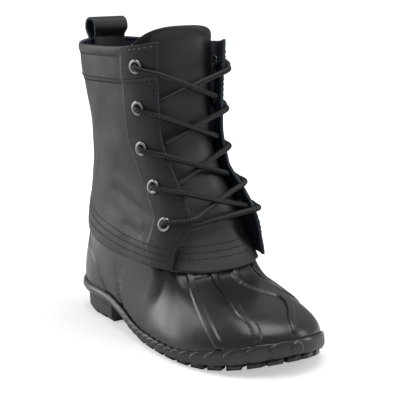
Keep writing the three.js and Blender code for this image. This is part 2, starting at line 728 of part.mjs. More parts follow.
// A low bar along the rubber's face, from its wide root to its narrow crest; a groove is cut by one that points in.
const RIB_STEPS = 8;
function ribSolid(rib, root, crest) {
  const centre = (t) => ({
    edge: rib.top + (rib.toe - rib.top) * t + rib.bow * 4 * t * (1 - t),
    share: rib.from + (rib.to - rib.from) * t,
  });
  const at = (t) => {
    const spot = centre(t);
    return rubberPoint((spot.edge + 1) % 1, spot.share);
  };
  const rings = Array.from({ length: RIB_STEPS + 1 }, (_, i) => {
    const t = i / RIB_STEPS;
    const spot = centre(t);
    const point = at(t);
    const normal = rubberNormal((spot.edge + 1) % 1, spot.share);
    const way = at(Math.min(t + 0.02, 1)).sub(at(Math.max(t - 0.02, 0))).normalize();
    const across = normal.clone().cross(way).normalize();
    const corner = (aside, lift) =>
      point.clone().addScaledVector(across, aside * RIB_WIDTH).addScaledVector(normal, lift);
    return [
      corner(-0.5, root),
      corner(0.5, root),
      corner(0.5, crest * 0.2),
      corner(0.28, crest),
      corner(-0.28, crest),
      corner(-0.5, crest * 0.2),
    ];
  });
  return stackSolid(crest > root ? rings : rings.map((ring) => ring.reverse()));
}

addPart("rubber_foot", rubberFoot(), rubber);

// Leather shaft: two flaps that meet at the back, with the eyestay and the cuff as steps in the wall.
const STAY_COLUMNS = [0, 0.5, 1];
const SIDE_COLUMNS = [0, 0.1, 0.22, 0.35, 0.48, 0.61, 0.73, 0.84, 0.93];
const BODY_ROWS = [0, 0.07, 0.15, 0.24, 0.34, 0.45, 0.57, 0.7, 0.84, 1];
const CUFF_ROWS = [0, 0.5, 1];

function stayWidth(height) {
  return stayShare(height / COLLAR_HEIGHT) * EYESTAY_WIDTH;
}
function flapColumns(side) {
  const stay = STAY_COLUMNS.map((share) => ({
    behind: (height) => share * stayWidth(height),
    step: EYESTAY_STEP,
  }));
  const rest = SIDE_COLUMNS.map((share) => ({
    behind: (height) => {
      const start = stayWidth(height) + STEP_RUN;
      return start + share * (girth(height, side) - start);
    },
    step: 0,
  }));
  return [...stay, ...rest].map((column) => ({ ...column, side }));
}

function shaftGrid(columns, rows, face) {
  return rows.map((row) =>
    columns.map((column) => {
      const low = meetEdge(leatherLow, column.side, column.behind);
      const high = meetEdge(collarHigh, column.side, column.behind);
      const seam = high - CUFF_DEPTH;
      const height = row.cuff
        ? seam + STEP_RUN / 2 + row.share * (CUFF_DEPTH - STEP_RUN / 2)
        : low + row.share * (seam - STEP_RUN / 2 - low);
      const turn = turnBehind(height, column.side, column.behind(height));
      const lift = face ? column.step + (row.cuff ? CUFF_STEP : 0) : -LEATHER_WALL;
      return inside(shaftPoint, height, turn, -lift);
    }),
  );
}

function leatherShaft() {
  const back = { side: 1, step: 0, behind: (height) => girth(height, 1) };
  const columns = [...flapColumns(1), back, ...flapColumns(-1).reverse()];
  const rows = [
    ...BODY_ROWS.map((share) => ({ share, cuff: false })),
    ...CUFF_ROWS.map((share) => ({ share, cuff: true })),
  ];
  const outer = shaftGrid(columns, rows, true).map((row) => row.reverse());
  const inner = shaftGrid(columns, rows, false).map((row) => row.reverse());
  let solid = toSolid(wallSolid(outer, inner, false));
  for (const spot of eyeletSpots) solid = solid.subtract(toSolid(punch(spot)));
  return toGeometry(solid);
}

// Eyelets: a row down each flap, the same distance apart along the leather.
const eyeletInset = (height) => insetShare(height / COLLAR_HEIGHT) * EYELET_INSET;
function eyeletRow(side) {
  const place = (height) => {
    const turn = turnBehind(height, side, eyeletInset(height));
    return { height, turn, point: shaftPoint(height, turn) };
  };
  let height = meetEdge(collarHigh, side, eyeletInset) - EYELET_DROP;
  let last = place(height);
  const row = [last];
  let travelled = 0;
  while (row.length < EYELET_COUNT && height > tipHeight[side]) {
    height -= 0.25;
    const next = place(height);
    travelled += next.point.distanceTo(last.point);
    last = next;
    if (travelled >= EYELET_PITCH) {
      row.push(next);
      travelled -= EYELET_PITCH;
    }
  }
  return row.map((spot, i) => {
    const inCuff = spot.height > collarHigh(spot.turn) - CUFF_DEPTH;
    const name = (side > 0 ? "eyelet_outer_" : "eyelet_inner_") + (i + 1);
    const face = EYESTAY_STEP + (inCuff ? CUFF_STEP : 0);
    return { ...spot, side, name, face, normal: levelNormal(shaftPoint, spot.height, spot.turn) };
  });
}
const eyeletSpots = [...eyeletRow(1), ...eyeletRow(-1)];

const EYELET_SIDES = 8;
const EYELET_TUBE = 0.5;
const upright = new THREE.Vector3(0, 1, 0);
function standOn(geometry, spot) {
  geometry.applyQuaternion(new THREE.Quaternion().setFromUnitVectors(upright, spot.normal));
  return geometry.translate(spot.point.x, spot.point.y, spot.point.z);
}
function punch(spot) {
  const radius = EYELET_HOLE / 2 + EYELET_TUBE + GAP;
  return standOn(new THREE.CylinderGeometry(radius, radius, 6 * LEATHER_WALL, EYELET_SIDES), spot);
}
function eyelet(spot) {
  const hole = EYELET_HOLE / 2;
  const tube = hole + EYELET_TUBE;
  const outer = EYELET_OUTER / 2;
  const roll = tube + EYELET_LIP;
  const face = spot.face + EYELET_SEAT;
  const back = -LEATHER_WALL - 3 * GAP;
  const profile = [
    [hole, back - EYELET_LIP / 2],
    [roll, back],
    [tube, back],
    [tube, face],
    [outer, face],
    [outer - EYELET_LIP, face + EYELET_LIP],
    [hole, face + EYELET_LIP],
    [hole, back - EYELET_LIP / 2],
  ].map(([x, y]) => new THREE.Vector2(x, y));
  return standOn(new THREE.LatheGeometry(profile, EYELET_SIDES), spot);
}

addPart("leather_shaft", leatherShaft(), leather);

// Tongue and vamp: one piece of leather from the rubber's top line up behind the flaps.
const TONGUE_COLUMNS = [1, 0.8, 0.6, 0.4, 0.22, 0.08, -0.08, -0.22, -0.4, -0.6, -0.8, -1];
const TONGUE_ROWS = [0, 0.06, 0.12, 0.19, 0.27, 0.37, 0.5, 0.66, 0.84, 1];

function tongue() {
  const grid = (depth) =>
    TONGUE_ROWS.map((row) =>
      TONGUE_COLUMNS.map((column) => {
        const turnAt = (height) => {
          const flank = column < 0 ? -1 : 1;
          const edge = Math.abs(flapTurn(height, flank)) - tongueTuck(height / COLLAR_HEIGHT);
          return flank * (0.5 - Math.abs(column) * (0.5 - edge));
        };
        let low = tipHeight[column < 0 ? -1 : 1];
        for (let i = 0; i < 6; i++) low = leatherLow(turnAt(low));
        const high = collarHigh(0.5) + TONGUE_RISE - column * column * (TONGUE_RISE + TONGUE_DROOP);
        const height = low + row * (high - low);
        return inside(vampPoint, height, turnAt(height), LEATHER_WALL + 2 * GAP + depth);
      }),
    );
  return wallSolid(grid(0), grid(TONGUE_WALL), false);
}

addPart("tongue", tongue(), tongueLeather);

// Pull loop: a folded strip that grips the collar at the back, and stands open and straight above it.
const LOOP_COLUMNS = 5;
const LOOP_ROWS = 16;
function pullLoop() {
  const outerLeg = CUFF_STEP + GAP + LOOP_THICK / 2;
  const innerLeg = -LEATHER_WALL - GAP - LOOP_THICK / 2;
  const middle = (outerLeg + innerLeg) / 2;
  const bow = LOOP_DEPTH / 2;
  const route = new THREE.SplineCurve([
    new THREE.Vector2(outerLeg, -LOOP_TAIL),
    new THREE.Vector2(outerLeg, -LOOP_TAIL / 2),
    new THREE.Vector2(outerLeg, -LOOP_THICK),
    new THREE.Vector2(outerLeg, 0),
    new THREE.Vector2(middle + bow, LOOP_HEIGHT * 0.45),
    new THREE.Vector2(middle + bow * 0.8, LOOP_HEIGHT * 0.85),
    new THREE.Vector2(middle, LOOP_HEIGHT),
    new THREE.Vector2(middle - bow * 0.8, LOOP_HEIGHT * 0.85),
    new THREE.Vector2(middle - bow, LOOP_HEIGHT * 0.45),
    new THREE.Vector2(innerLeg, 0),
    new THREE.Vector2(innerLeg, -LOOP_THICK),
    new THREE.Vector2(innerLeg, -LOOP_TAIL / 2),
    new THREE.Vector2(innerLeg, -LOOP_TAIL),
  ]);
  const grid = (lift) =>
    Array.from({ length: LOOP_ROWS + 1 }, (_, row) => {
      const spot = route.getPoint(row / LOOP_ROWS);
      const way = route.getTangent(row / LOOP_ROWS);
      const out = spot.x + way.y * lift;
      const height = collarHigh(0) + spot.y - way.x * lift;
      return Array.from({ length: LOOP_COLUMNS + 1 }, (_, column) => {
        const x = (0.5 - column / LOOP_COLUMNS) * LOOP_WIDTH;
        const bent = inside(shaftPoint, height, backTurn(height, x), -out);
        const flat = inside(shaftPoint, height, backTurn(height, LOOP_WIDTH / 4), -out).setX(x);
        return bent.lerp(flat, THREE.MathUtils.smoothstep(spot.y, 0, LOOP_HEIGHT * 0.4));
      });
    });
  return wallSolid(grid(LOOP_THICK / 2), grid(-LOOP_THICK / 2), false);
}

// The turn of the upper's back at a distance to one side of its middle line.
function backTurn(height, x) {
  const up = height / COLLAR_HEIGHT;
  const half = (x < 0 ? section.outer(up) : section.inner(up)) * BALL_WIDTH * (1 - section.flare(up));
  const sine = (Math.abs(x) / half) ** (section.round(up) / 2);
  return (-Math.sign(x) * Math.asin(sine)) / (2 * Math.PI);
}

addPart("pull_loop", pullLoop(), leather);

for (const spot of eyeletSpots) addPart(spot.name, eyelet(spot), steel);

// Lace: each crossing is two strands joined where they meet, held just clear of flaps, tongue and eyelets.
const LACE_SIDES = 6;
const LACE_STEPS = 9;
const laceSection = new THREE.Shape(
  Array.from({ length: LACE_SIDES }, (_, i) => {
    const angle = (2 * Math.PI * i) / LACE_SIDES;
    return new THREE.Vector2((Math.cos(angle) * LACE_THICK) / 2, (Math.sin(angle) * LACE_THICK) / 2);
  }),
);
const laceRest = LACE_THICK / 2 + 4 * GAP;

// Share of its way down between two eyelets that a strand has covered at the flap's edge.
const LACE_SLOPE = 0.16;

function overFlap(spot, height, behind, lift) {
  return inside(shaftPoint, height, turnBehind(height, spot.side, behind), -lift);
}
function strand(from, to, crossLift, endsOver) {
  const clear = EYELET_OUTER / 2 + laceRest;
  const over = from.face + laceRest;
  const end = endsOver ? over : -LEATHER_WALL - laceRest;
  const fall = to.height - from.height;
  const leaves = overFlap(from, from.height + fall * LACE_SLOPE, 0, over);
  const enters = overFlap(to, to.height - fall * LACE_SLOPE, 0, end);
  const route = [
    overFlap(from, from.height + fall * LACE_SLOPE * 0.2, eyeletInset(from.height) - clear, over),
    leaves,
    leaves.clone().lerp(enters, 0.25).add(new THREE.Vector3(0, -crossLift / 2, 0)),
    leaves.clone().lerp(enters, 0.5).add(new THREE.Vector3(0, -crossLift, 0)),
    leaves.clone().lerp(enters, 0.75).add(new THREE.Vector3(0, -crossLift * 0.8, 0)),
    enters,
  ];
  if (endsOver) route.push(overFlap(to, to.height - fall * LACE_SLOPE * 0.2, eyeletInset(to.height) - clear, over));
  const settings = { steps: LACE_STEPS, extrudePath: new THREE.CatmullRomCurve3(route), bevelEnabled: false };
  return toSolid(new THREE.ExtrudeGeometry(laceSection, settings));
}

const outerSpots = eyeletSpots.filter((spot) => spot.side > 0);
const innerSpots = eyeletSpots.filter((spot) => spot.side < 0);
const lastRow = EYELET_COUNT - 1;
for (let row = 0; row < lastRow; row++) {
  const top = strand(outerSpots[row], innerSpots[row + 1], LACE_THICK, false);
  const under = strand(innerSpots[row], outerSpots[row + 1], LACE_THICK * 0.4, row + 1 === lastRow);
  addPart("lace_crossing_" + (row + 1), toGeometry(top.add(under)), braid);
}
const bar = strand(innerSpots[lastRow], outerSpots[lastRow], LACE_THICK * 0.3, false);
addPart("lace_bar", toGeometry(bar), braid);

// The origin lies on the floor under the middle of the boot's box.
const reach = new THREE.Box3().setFromObject(boot);
boot.position.x = -(reach.min.x + reach.max.x) / 2;
boot.position.y = -(reach.min.y + reach.max.y) / 2;

export default boot;
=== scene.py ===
import math
import bpy, bmesh
import numpy as np
from mathutils import Matrix, Vector


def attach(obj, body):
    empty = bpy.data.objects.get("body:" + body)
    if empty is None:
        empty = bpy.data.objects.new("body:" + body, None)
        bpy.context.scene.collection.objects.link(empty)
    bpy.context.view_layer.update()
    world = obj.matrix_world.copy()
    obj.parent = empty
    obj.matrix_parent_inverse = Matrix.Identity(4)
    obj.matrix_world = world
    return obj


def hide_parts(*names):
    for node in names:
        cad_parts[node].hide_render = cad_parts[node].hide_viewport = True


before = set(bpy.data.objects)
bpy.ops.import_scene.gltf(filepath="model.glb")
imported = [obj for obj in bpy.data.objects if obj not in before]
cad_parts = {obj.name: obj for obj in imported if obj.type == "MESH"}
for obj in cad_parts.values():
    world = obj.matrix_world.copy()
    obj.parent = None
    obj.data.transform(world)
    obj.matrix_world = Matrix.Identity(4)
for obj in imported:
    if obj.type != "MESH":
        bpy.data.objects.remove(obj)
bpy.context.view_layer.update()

# Camera
# The boot is seen from a little above, toe towards the viewer's right.
view_from = {"azimuth": -34.5, "elevation": 11.4, "distance": 0.75, "pixels": 1348}
look_at = Vector((-0.0108, -0.0255, 0.0843))
azimuth, elevation = math.radians(view_from["azimuth"]), math.radians(view_from["elevation"])
backwards = Vector((math.sin(azimuth) * math.cos(elevation),
                    -math.cos(azimuth) * math.cos(elevation), math.sin(elevation)))
camera = bpy.data.objects.new("camera", bpy.data.cameras.new("camera"))
camera.data.sensor_width = 36
camera.data.lens = view_from["pixels"] * 36 / 400
camera.location = look_at + backwards * view_from["distance"]
camera.rotation_euler = backwards.to_track_quat("Z", "Y").to_euler()
bpy.context.collection.objects.link(camera)
bpy.context.scene.camera = camera

# Lace
# One round braided lace, black with dim grey flecks, 3.4 mm thick. It runs through the ten
# eyelets: crossed from flap to flap, straight across at the bottom, both ends tucked inside
# behind the top pair.

# The upper is drawn by level sections over the last, and every soft piece of the boot is cut
# from that one form: the leather and the lace follow its outer face, the rubber its lower part.
MM = 0.001
SOLE_LENGTH, BALL_WIDTH, COLLAR_HEIGHT = 196.0, 84.0, 170.0
GAP = 0.3
BOX_SHIFT = np.array([-0.0291, -0.6584, 0.0])
heel_y = SOLE_LENGTH / 2

SECTIONS = {
    "up":    [.24, .275, .335, .38, .43, .5, .58, .68, .8, .92, 1.08],
    "back":  [.02, .02, .022, .027, .037, .052, .065, .062, .042, .026, .018],
    "front": [.68, .652, .655, .655, .65, .622, .585, .55, .533, .527, .527],
    "vamp":  [.672, .64, .602, .58, .565, .538, .508, .484, .481, .474, .468],
    "outer": [.43, .43, .42, .408, .393, .377, .362, .362, .382, .402, .412],
    "inner": [.42, .42, .41, .398, .383, .367, .352, .352, .372, .392, .402],
    "shift": [.05, .05, .05, .055, .055, .045, .025, .008, 0, 0, 0],
    "flare": [.13, .12, .09, .07, .05, .02, 0, 0, 0, 0, 0],
    "blunt": [4.3, 4.3, 4, 3.8, 3.5, 3.3, 3, 2.9, 2.9, 2.9, 2.9],
    "round": [2.3] * 11,
}


def read_table(at, value):
    """Smooth values between the rows of a table, level beyond its ends."""
    at, value = np.array(at, float), np.array(value, float)
    slope = np.diff(value) / np.diff(at)
    before = np.concatenate([slope[:1], slope])
    after = np.concatenate([slope, slope[-1:]])
    same = before * after > 0
    tangent = np.where(same, 2 * before * after / np.where(same, before + after, 1), 0)

    def read(x):
        x = np.clip(np.asarray(x, float), at[0], at[-1])
        i = np.clip(np.searchsorted(at, x, side="right") - 1, 0, len(at) - 2)
        run = at[i + 1] - at[i]
        t = (x - at[i]) / run
        rest = 1 - t
        return (value[i] * rest * rest * (1 + 2 * t) + tangent[i] * run * t * rest * rest
                + value[i + 1] * t * t * (3 - 2 * t) - tangent[i + 1] * run * t * t * rest)
    return read


section = {name: read_table(SECTIONS["up"], SECTIONS[name]) for name in SECTIONS}


def signed_power(value, power):
    return np.sign(value) * np.abs(value) ** power


def level_point(height, turn, front):
    """A point of a level section, in millimetres. turn is 0 at the back and 0.5 at the front."""
    height, turn = np.broadcast_arrays(np.asarray(height, float), np.asarray(turn, float))
    up = height / COLLAR_HEIGHT
    centre = heel_y - (section["back"](up) + section["front"](up)) / 2 * SOLE_LENGTH
    aside = np.sin(2 * np.pi * turn)
    cosine = np.cos(2 * np.pi * turn)
    power = 2 / np.where(cosine < 0, section["blunt"](up), section["round"](up))
    ahead = -signed_power(cosine, power)
    half = np.where(aside > 0, section["outer"](up), section["inner"](up)) * BALL_WIDTH
    middle = section["shift"](up) * BALL_WIDTH * (1 + ahead) / 2
    end = heel_y - np.where(ahead > 0, section[front](up), section["back"](up)) * SOLE_LENGTH
    return np.stack([middle - half * (1 + section["flare"](up) * ahead) * signed_power(aside, power),
                     centre + (end - centre) * np.abs(ahead), height], -1)


def shaft_point(height, turn):
    return level_point(height, turn, "front")


def vamp_point(height, turn):
    return level_point(height, turn, "vamp")


def unit(v):
    return v / np.maximum(np.linalg.norm(v, axis=-1, keepdims=True), 1e-12)


def normal_of(surface, u, v, du, dv):
    across = surface(u + du, v) - surface(u - du, v)
    along = surface(u, v + dv) - surface(u, v - dv)
    return unit(np.cross(across, along))


def level_normal(surface, height, turn):
    turn, height = np.asarray(turn, float), np.asarray(height, float)
    return normal_of(lambda u, v: surface(v, u), turn, height, .004, .5)


def inside(surface, height, turn, depth):
    """A point that lies a depth inside one of those faces."""
    depth = np.asarray(depth, float)
    return surface(height, turn) - level_normal(surface, height, turn) * depth[..., None]


THROAT = {
    "up":    [.27, .33, .38, .43, .55, .68, .8, 1.04],
    "half":  [.385, .36, .315, .29, .285, .285, .277, .277],
    "lean":  [-.005, -.005, .012, .03, .036, .024, .017, .015],
    "stay":  [.6, .85, 1, 1.05, 1.08, 1.05, 1.05, 1.05],
    "inset": [1, 1, 1.1, 1.25, 1.35, 1.1, 1, 1],
    "tuck":  [.025, .03, .035, .028, .022, .026, .05, .08],
}
throat = {name: read_table(THROAT["up"], THROAT[name]) for name in THROAT}

# Ladders of heights and of places round each flap, from its front edge to the back of the boot.
LADDER = np.arange(30.0, 200.0, 1.0)
ROUND = np.linspace(0, 1, 241)


def flap_ladder(side):
    low, high = np.full(LADDER.shape, .25), np.full(LADDER.shape, .5)
    up = LADDER / COLLAR_HEIGHT
    target = throat["half"](up) * BALL_WIDTH
    middle = (section["shift"](up) + throat["lean"](up)) * BALL_WIDTH
    for _ in range(34):
        turn = (low + high) / 2
        wide = np.abs(shaft_point(LADDER, side * turn)[..., 0] - middle) > target
        low, high = np.where(wide, turn, low), np.where(wide, high, turn)
    start = side * low
    turns = start[:, None] * (1 - ROUND[None, :])
    points = shaft_point(np.broadcast_to(LADDER[:, None], turns.shape), turns)
    steps = np.linalg.norm(np.diff(points, axis=1), axis=-1)
    behind = np.concatenate([np.zeros((len(LADDER), 1)), np.cumsum(steps, 1)], 1)
    share_turn = np.array([np.interp(ROUND * b[-1], b, t) for b, t in zip(behind, turns)])
    return start, behind[:, -1], share_turn


flaps = {1: flap_ladder(1), -1: flap_ladder(-1)}


def flap_turn(height, side=1):
    return np.interp(height, LADDER, flaps[side][0])


def girth(height, side):
    return np.interp(height, LADDER, flaps[side][1])


def turn_behind(height, side, behind):
    """The turn at a distance behind a flap's front edge, in millimetres along the leather."""
    height, behind = np.broadcast_arrays(np.asarray(height, float), np.asarray(behind, float))
    table = flaps[side][2]
    row = np.clip((height - LADDER[0]), 0, len(LADDER) - 1.001)
    i = row.astype(int)
    f = row - i
    at = np.clip(behind / girth(height, side), -.05, 1) * (len(ROUND) - 1)
    j = np.clip(np.floor(at).astype(int), 0, len(ROUND) - 2)
    g = at - j
    lower = table[i, j] * (1 - g) + table[i, j + 1] * g
    upper = table[i + 1, j] * (1 - g) + table[i + 1, j + 1] * g
    return lower * (1 - f) + upper * f


LEATHER_EDGE = {
    "turn": [0, .08, .17, .26, .34, .42, .5],
    "up":   [.385, .357, .3, .276, .272, .272, .262],
}
COLLAR_EDGE = {
    "turn": [0, .15, .3, .42, .5],
    "up":   [.985, .975, .985, 1.005, 1.01],
}
leather_edge = read_table(LEATHER_EDGE["turn"], LEATHER_EDGE["up"])
collar_edge = read_table(COLLAR_EDGE["turn"], COLLAR_EDGE["up"])


def leather_low(turn):
    return leather_edge(np.abs(turn)) * COLLAR_HEIGHT


def collar_high(turn):
    return collar_edge(np.abs(turn)) * COLLAR_HEIGHT


def meet_edge(edge_height, side, behind_at):
    """The height at which a line down the leather meets its lower edge or the collar."""
    height = edge_height(.4)
    for _ in range(8):
        height = edge_height(turn_behind(height, side, behind_at(height)))
    return height


LEATHER_WALL, CUFF_DEPTH, CUFF_STEP = 1.8, 20.0, .6
EYESTAY_WIDTH, EYESTAY_STEP = 23.0, .7
TONGUE_WALL = 1.8


def over_flap(side, height, behind, lift):
    """A point on a flap, from its height, how far it is behind the front edge, and its lift."""
    turn = turn_behind(height, side, behind)
    return inside(shaft_point, height, turn, -np.asarray(lift, float) * np.ones_like(turn))


LACE_THICK, LACE_REST = 3.4, 2.25
EYELET_COUNT, EYELET_PITCH, EYELET_DROP, EYELET_INSET = 5, 23.3, 12.0, 12.8
EYELET_OUTER, EYELET_HOLE = 8.4, 4.4


def eyelet_inset(height):
    return throat["inset"](height / COLLAR_HEIGHT) * EYELET_INSET


def eyelet_row(side):
    """Heights of one flap's eyelets, the same distance apart along the leather."""
    height = float(meet_edge(collar_high, side, eyelet_inset)) - EYELET_DROP
    last = over_flap(side, height, eyelet_inset(height), 0.0)
    heights, travelled = [height], 0.0
    while len(heights) < EYELET_COUNT:
        height -= .25
        here = over_flap(side, height, eyelet_inset(height), 0.0)
        travelled += float(np.linalg.norm(here - last))
        last = here
        if travelled >= EYELET_PITCH:
            heights.append(height)
            travelled -= EYELET_PITCH
    return heights


eyelet_heights = {1: eyelet_row(1), -1: eyelet_row(-1)}
eyelet_face = [EYESTAY_STEP + (CUFF_STEP if row == 0 else 0) for row in range(EYELET_COUNT)]

# How much of the way to the next eyelet the lace has dropped at each place on its flap.
FALL_AT_RIM, FALL_ON_FLAP, FALL_AT_EDGE = .05, .1, .16


def lace_over(side, row, toward):
    """From an eyelet's mouth over the flap's face to just off its front edge."""
    h, face = eyelet_heights[side][row], eyelet_face[row]
    inset = float(eyelet_inset(h))
    return [over_flap(side, h, inset, face + 1.2),
            over_flap(side, h + toward * FALL_AT_RIM, inset - 2.6, face + 2.8),
            over_flap(side, h + toward * FALL_ON_FLAP, inset * .45, face + LACE_REST - .3),
            over_flap(side, h + toward * FALL_AT_EDGE, -.2, face + LACE_REST - .5)]


def lace_under(side, row, toward):
    """From an eyelet's back along the flap's inside to just behind its front edge."""
    h = eyelet_heights[side][row]
    inset = float(eyelet_inset(h))
    return [over_flap(side, h, inset, -LEATHER_WALL - 1.0),
            over_flap(side, h + toward * FALL_AT_RIM, inset - 2.8, -LEATHER_WALL - LACE_REST - .3),
            over_flap(side, h + toward * FALL_AT_EDGE, .5, -LEATHER_WALL - LACE_REST)]


def lace_cross(a, b, lift):
    """The free part between two flaps, lifted clear of the strand that it crosses."""
    away = np.array([0.0, -1.0, 0.0]) * lift
    return [a + (b - a) * t + away * s for t, s in ((.25, .6), (.5, 1), (.75, .6))]


def lace_route():
    outer, inner = 1, -1
    top, low, bar = LACE_THICK * 1.02, LACE_THICK * .04, .3
    h = eyelet_heights
    legs = []

    def cross(side_a, row_a, over_a, side_b, row_b, over_b):
        fall = h[side_b][row_b] - h[side_a][row_a]
        a = (lace_over if over_a else lace_under)(side_a, row_a, fall)
        b = (lace_over if over_b else lace_under)(side_b, row_b, -fall)
        # the strand that leaves the outer flap's eyelet lies on top
        down_from_a = over_a and side_a == outer and row_b > row_a
        down_from_b = over_b and side_b == outer and row_a > row_b
        on_top = down_from_a or down_from_b
        lift = bar if row_a == row_b else (top if on_top else low)
        legs.append(a + lace_cross(a[-1], b[-1], lift) + b[::-1])

    def hidden_end(side):
        """The tucked end, inside the leather below the top eyelet, from its tip up."""
        depth, from_top = LEATHER_WALL + LACE_REST, h[side][0]
        return [over_flap(side, from_top - 9, EYELET_INSET - 1.5, -depth - .8),
                over_flap(side, from_top - 4, EYELET_INSET - .5, -depth - .6)]

    cross(outer, 0, True, inner, 1, False)
    cross(inner, 1, True, outer, 2, False)
    cross(outer, 2, True, inner, 3, False)
    cross(inner, 3, True, outer, 4, True)
    cross(outer, 4, False, inner, 4, True)
    cross(inner, 4, False, outer, 3, True)
    cross(outer, 3, False, inner, 2, True)
    cross(inner, 2, False, outer, 1, True)
    cross(outer, 1, False, inner, 0, True)
    return np.array(hidden_end(outer) + [p for leg in legs for p in leg] + hidden_end(inner)[::-1])


def curve_span(a, b, c, d, steps):
    """Points from b up to c on a centripetal curve through four points."""
    t0, t1, t2 = (max(np.linalg.norm(q - r) ** .5, 1e-4) for q, r in ((b, a), (c, b), (d, c)))
    m1 = ((b - a) / t0 - (c - a) / (t0 + t1) + (c - b) / t1) * t1
    m2 = ((c - b) / t1 - (d - b) / (t1 + t2) + (d - c) / t2) * t1
    s = np.linspace(0, 1, steps, endpoint=False)[:, None]
    return b + m1 * s + (-3 * b + 3 * c - 2 * m1 - m2) * s ** 2 + (2 * b - 2 * c + m1 + m2) * s ** 3


def length_up_to(line):
    return np.concatenate([[0], np.cumsum(np.linalg.norm(np.diff(line, axis=0), axis=1))])


def smooth_path(points, step):
    """Points every step millimetres along a centripetal curve through the given ones."""
    p = np.vstack([2 * points[0] - points[1], points, 2 * points[-1] - points[-2]])
    spans = [curve_span(*p[i - 1:i + 3], 24) for i in range(1, len(p) - 2)]
    line = np.vstack(spans + [p[-2][None]])
    length = length_up_to(line)
    at = np.linspace(0, length[-1], int(length[-1] / step) + 1)
    return np.stack([np.interp(at, length, line[:, k]) for k in range(3)], 1), length[-1]


def finish_mesh(bm, name):
    mesh = bpy.data.meshes.new(name)
    bm.to_mesh(mesh)
    bm.free()
    return mesh


def link(name, mesh, materials):
    """Puts a finished mesh into the scene under a name, smooth, riding on the boot."""
    piece = bpy.data.objects.new(name, mesh)
    bpy.context.collection.objects.link(piece)
    for material in materials:
        mesh.materials.append(material)
    for face in mesh.polygons:
        face.use_smooth = True
    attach(piece, "root")
    return piece


def sweep(bm, path, radius, sides, uv, repeat, relief):
    """A tube along a path in millimetres: a ring of corners at each point, closed at both ends."""
    frames = []
    tangent = unit(np.gradient(path, axis=0))
    up = np.cross(tangent[0], [0.3, 1, .2])
    for t in tangent:
        up = unit(up - t * (up @ t))
        frames.append((up, np.cross(t, up)))
    angles = np.linspace(0, 2 * np.pi, sides, endpoint=False)
    travelled = length_up_to(path)
    rings = []
    for centre, (u, w), along in zip(path, frames, travelled):
        r = radius + relief(along, angles)
        ring = centre + r[:, None] * (np.cos(angles)[:, None] * u + np.sin(angles)[:, None] * w)
        rings.append([bm.verts.new((q + BOX_SHIFT) * MM) for q in ring])
    for i in range(len(rings) - 1):
        for k in range(sides):
            n = (k + 1) % sides
            face = bm.faces.new((rings[i][k], rings[i + 1][k], rings[i + 1][n], rings[i][n]))
            v0, v1 = travelled[i] / repeat, travelled[i + 1] / repeat
            for loop, (a, b) in zip(face.loops, ((k, v0), (k, v1), (k + 1, v1), (k + 1, v0))):
                loop[uv].uv = (a / sides, b)
    bm.faces.new(rings[0])
    bm.faces.new(rings[-1][::-1])


LACE_STEP, LACE_SIDES = .42, 16
BRAID_PITCH, BRAID_RELIEF = 3.4, .12


def braid(along, angles):
    """Relief of the round braid: plaited strands that cross over each other."""
    turn = 2 * np.pi * along / BRAID_PITCH
    ridge = np.abs(np.sin(2 * angles + turn)) + np.abs(np.sin(2 * angles - turn))
    return BRAID_RELIEF * (ridge - 1.2)


lace_line, lace_length = smooth_path(lace_route(), LACE_STEP)
bm = bmesh.new()
lace_uv = bm.loops.layers.uv.new("braid")
sweep(bm, lace_line, LACE_THICK / 2 - .1, LACE_SIDES, lace_uv, BRAID_PITCH, braid)
bmesh.ops.recalc_face_normals(bm, faces=bm.faces)
lace_mesh = finish_mesh(bm, "lace")


def plain_material(name, colour, roughness, metallic=0.0, coat=0.0):
    material = bpy.data.materials.new(name)
    material.use_nodes = True
    shader = material.node_tree.nodes["Principled BSDF"]
    shader.inputs["Base Color"].default_value = (*colour, 1)
    shader.inputs["Roughness"].default_value = roughness
    shader.inputs["Metallic"].default_value = metallic
    shader.inputs["Coat Weight"].default_value = coat
    return material


# The braid's own pattern: rows of dim grey flecks along a black braid.
BLACK, FLECK, FLECK_SIZE = (.005, .005, .006), (.1, .1, .1), .17
lace_material = plain_material("lace braid", BLACK, .62)
tree = lace_material.node_tree
braid_map = tree.nodes.new("ShaderNodeUVMap")
braid_map.uv_map = "braid"
split = tree.nodes.new("ShaderNodeSeparateXYZ")
tree.links.new(braid_map.outputs["UV"], split.inputs["Vector"])


def math_node(tree, operation, a, b=None):
    """A maths node between sockets or plain values."""
    node = tree.nodes.new("ShaderNodeMath")
    node.operation = operation
    for socket, value in zip(node.inputs, (a, b)):
        if isinstance(value, (int, float)):
            socket.default_value = value
        elif value is not None:
            tree.links.new(value, socket)
    return node.outputs[0]


# across counts flecks round the braid and down counts them along it; each row is set half a pitch on.
across = math_node(tree, "MULTIPLY", split.outputs["X"], 4)
half_on = math_node(tree, "MULTIPLY", math_node(tree, "FLOOR", across), .5)
down = math_node(tree, "ADD", math_node(tree, "MULTIPLY", split.outputs["Y"], 2), half_on)
squares = []
for value in (across, down):
    from_middle = math_node(tree, "SUBTRACT", math_node(tree, "FRACT", value), .5)
    squares.append(math_node(tree, "POWER", math_node(tree, "ABSOLUTE", from_middle), 2))
spread = math_node(tree, "ADD", *squares)
fleck = math_node(tree, "LESS_THAN", spread, FLECK_SIZE ** 2)
blend = tree.nodes.new("ShaderNodeMix")
blend.data_type = "RGBA"
blend.inputs[6].default_value = (*BLACK, 1)
blend.inputs[7].default_value = (*FLECK, 1)
tree.links.new(fleck, blend.inputs["Factor"])
tree.links.new(blend.outputs[2], tree.nodes["Principled BSDF"].inputs["Base Color"])
lace = link("lace", lace_mesh, [lace_material])
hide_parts("lace_crossing_1", "lace_crossing_2", "lace_crossing_3", "lace_crossing_4", "lace_bar")

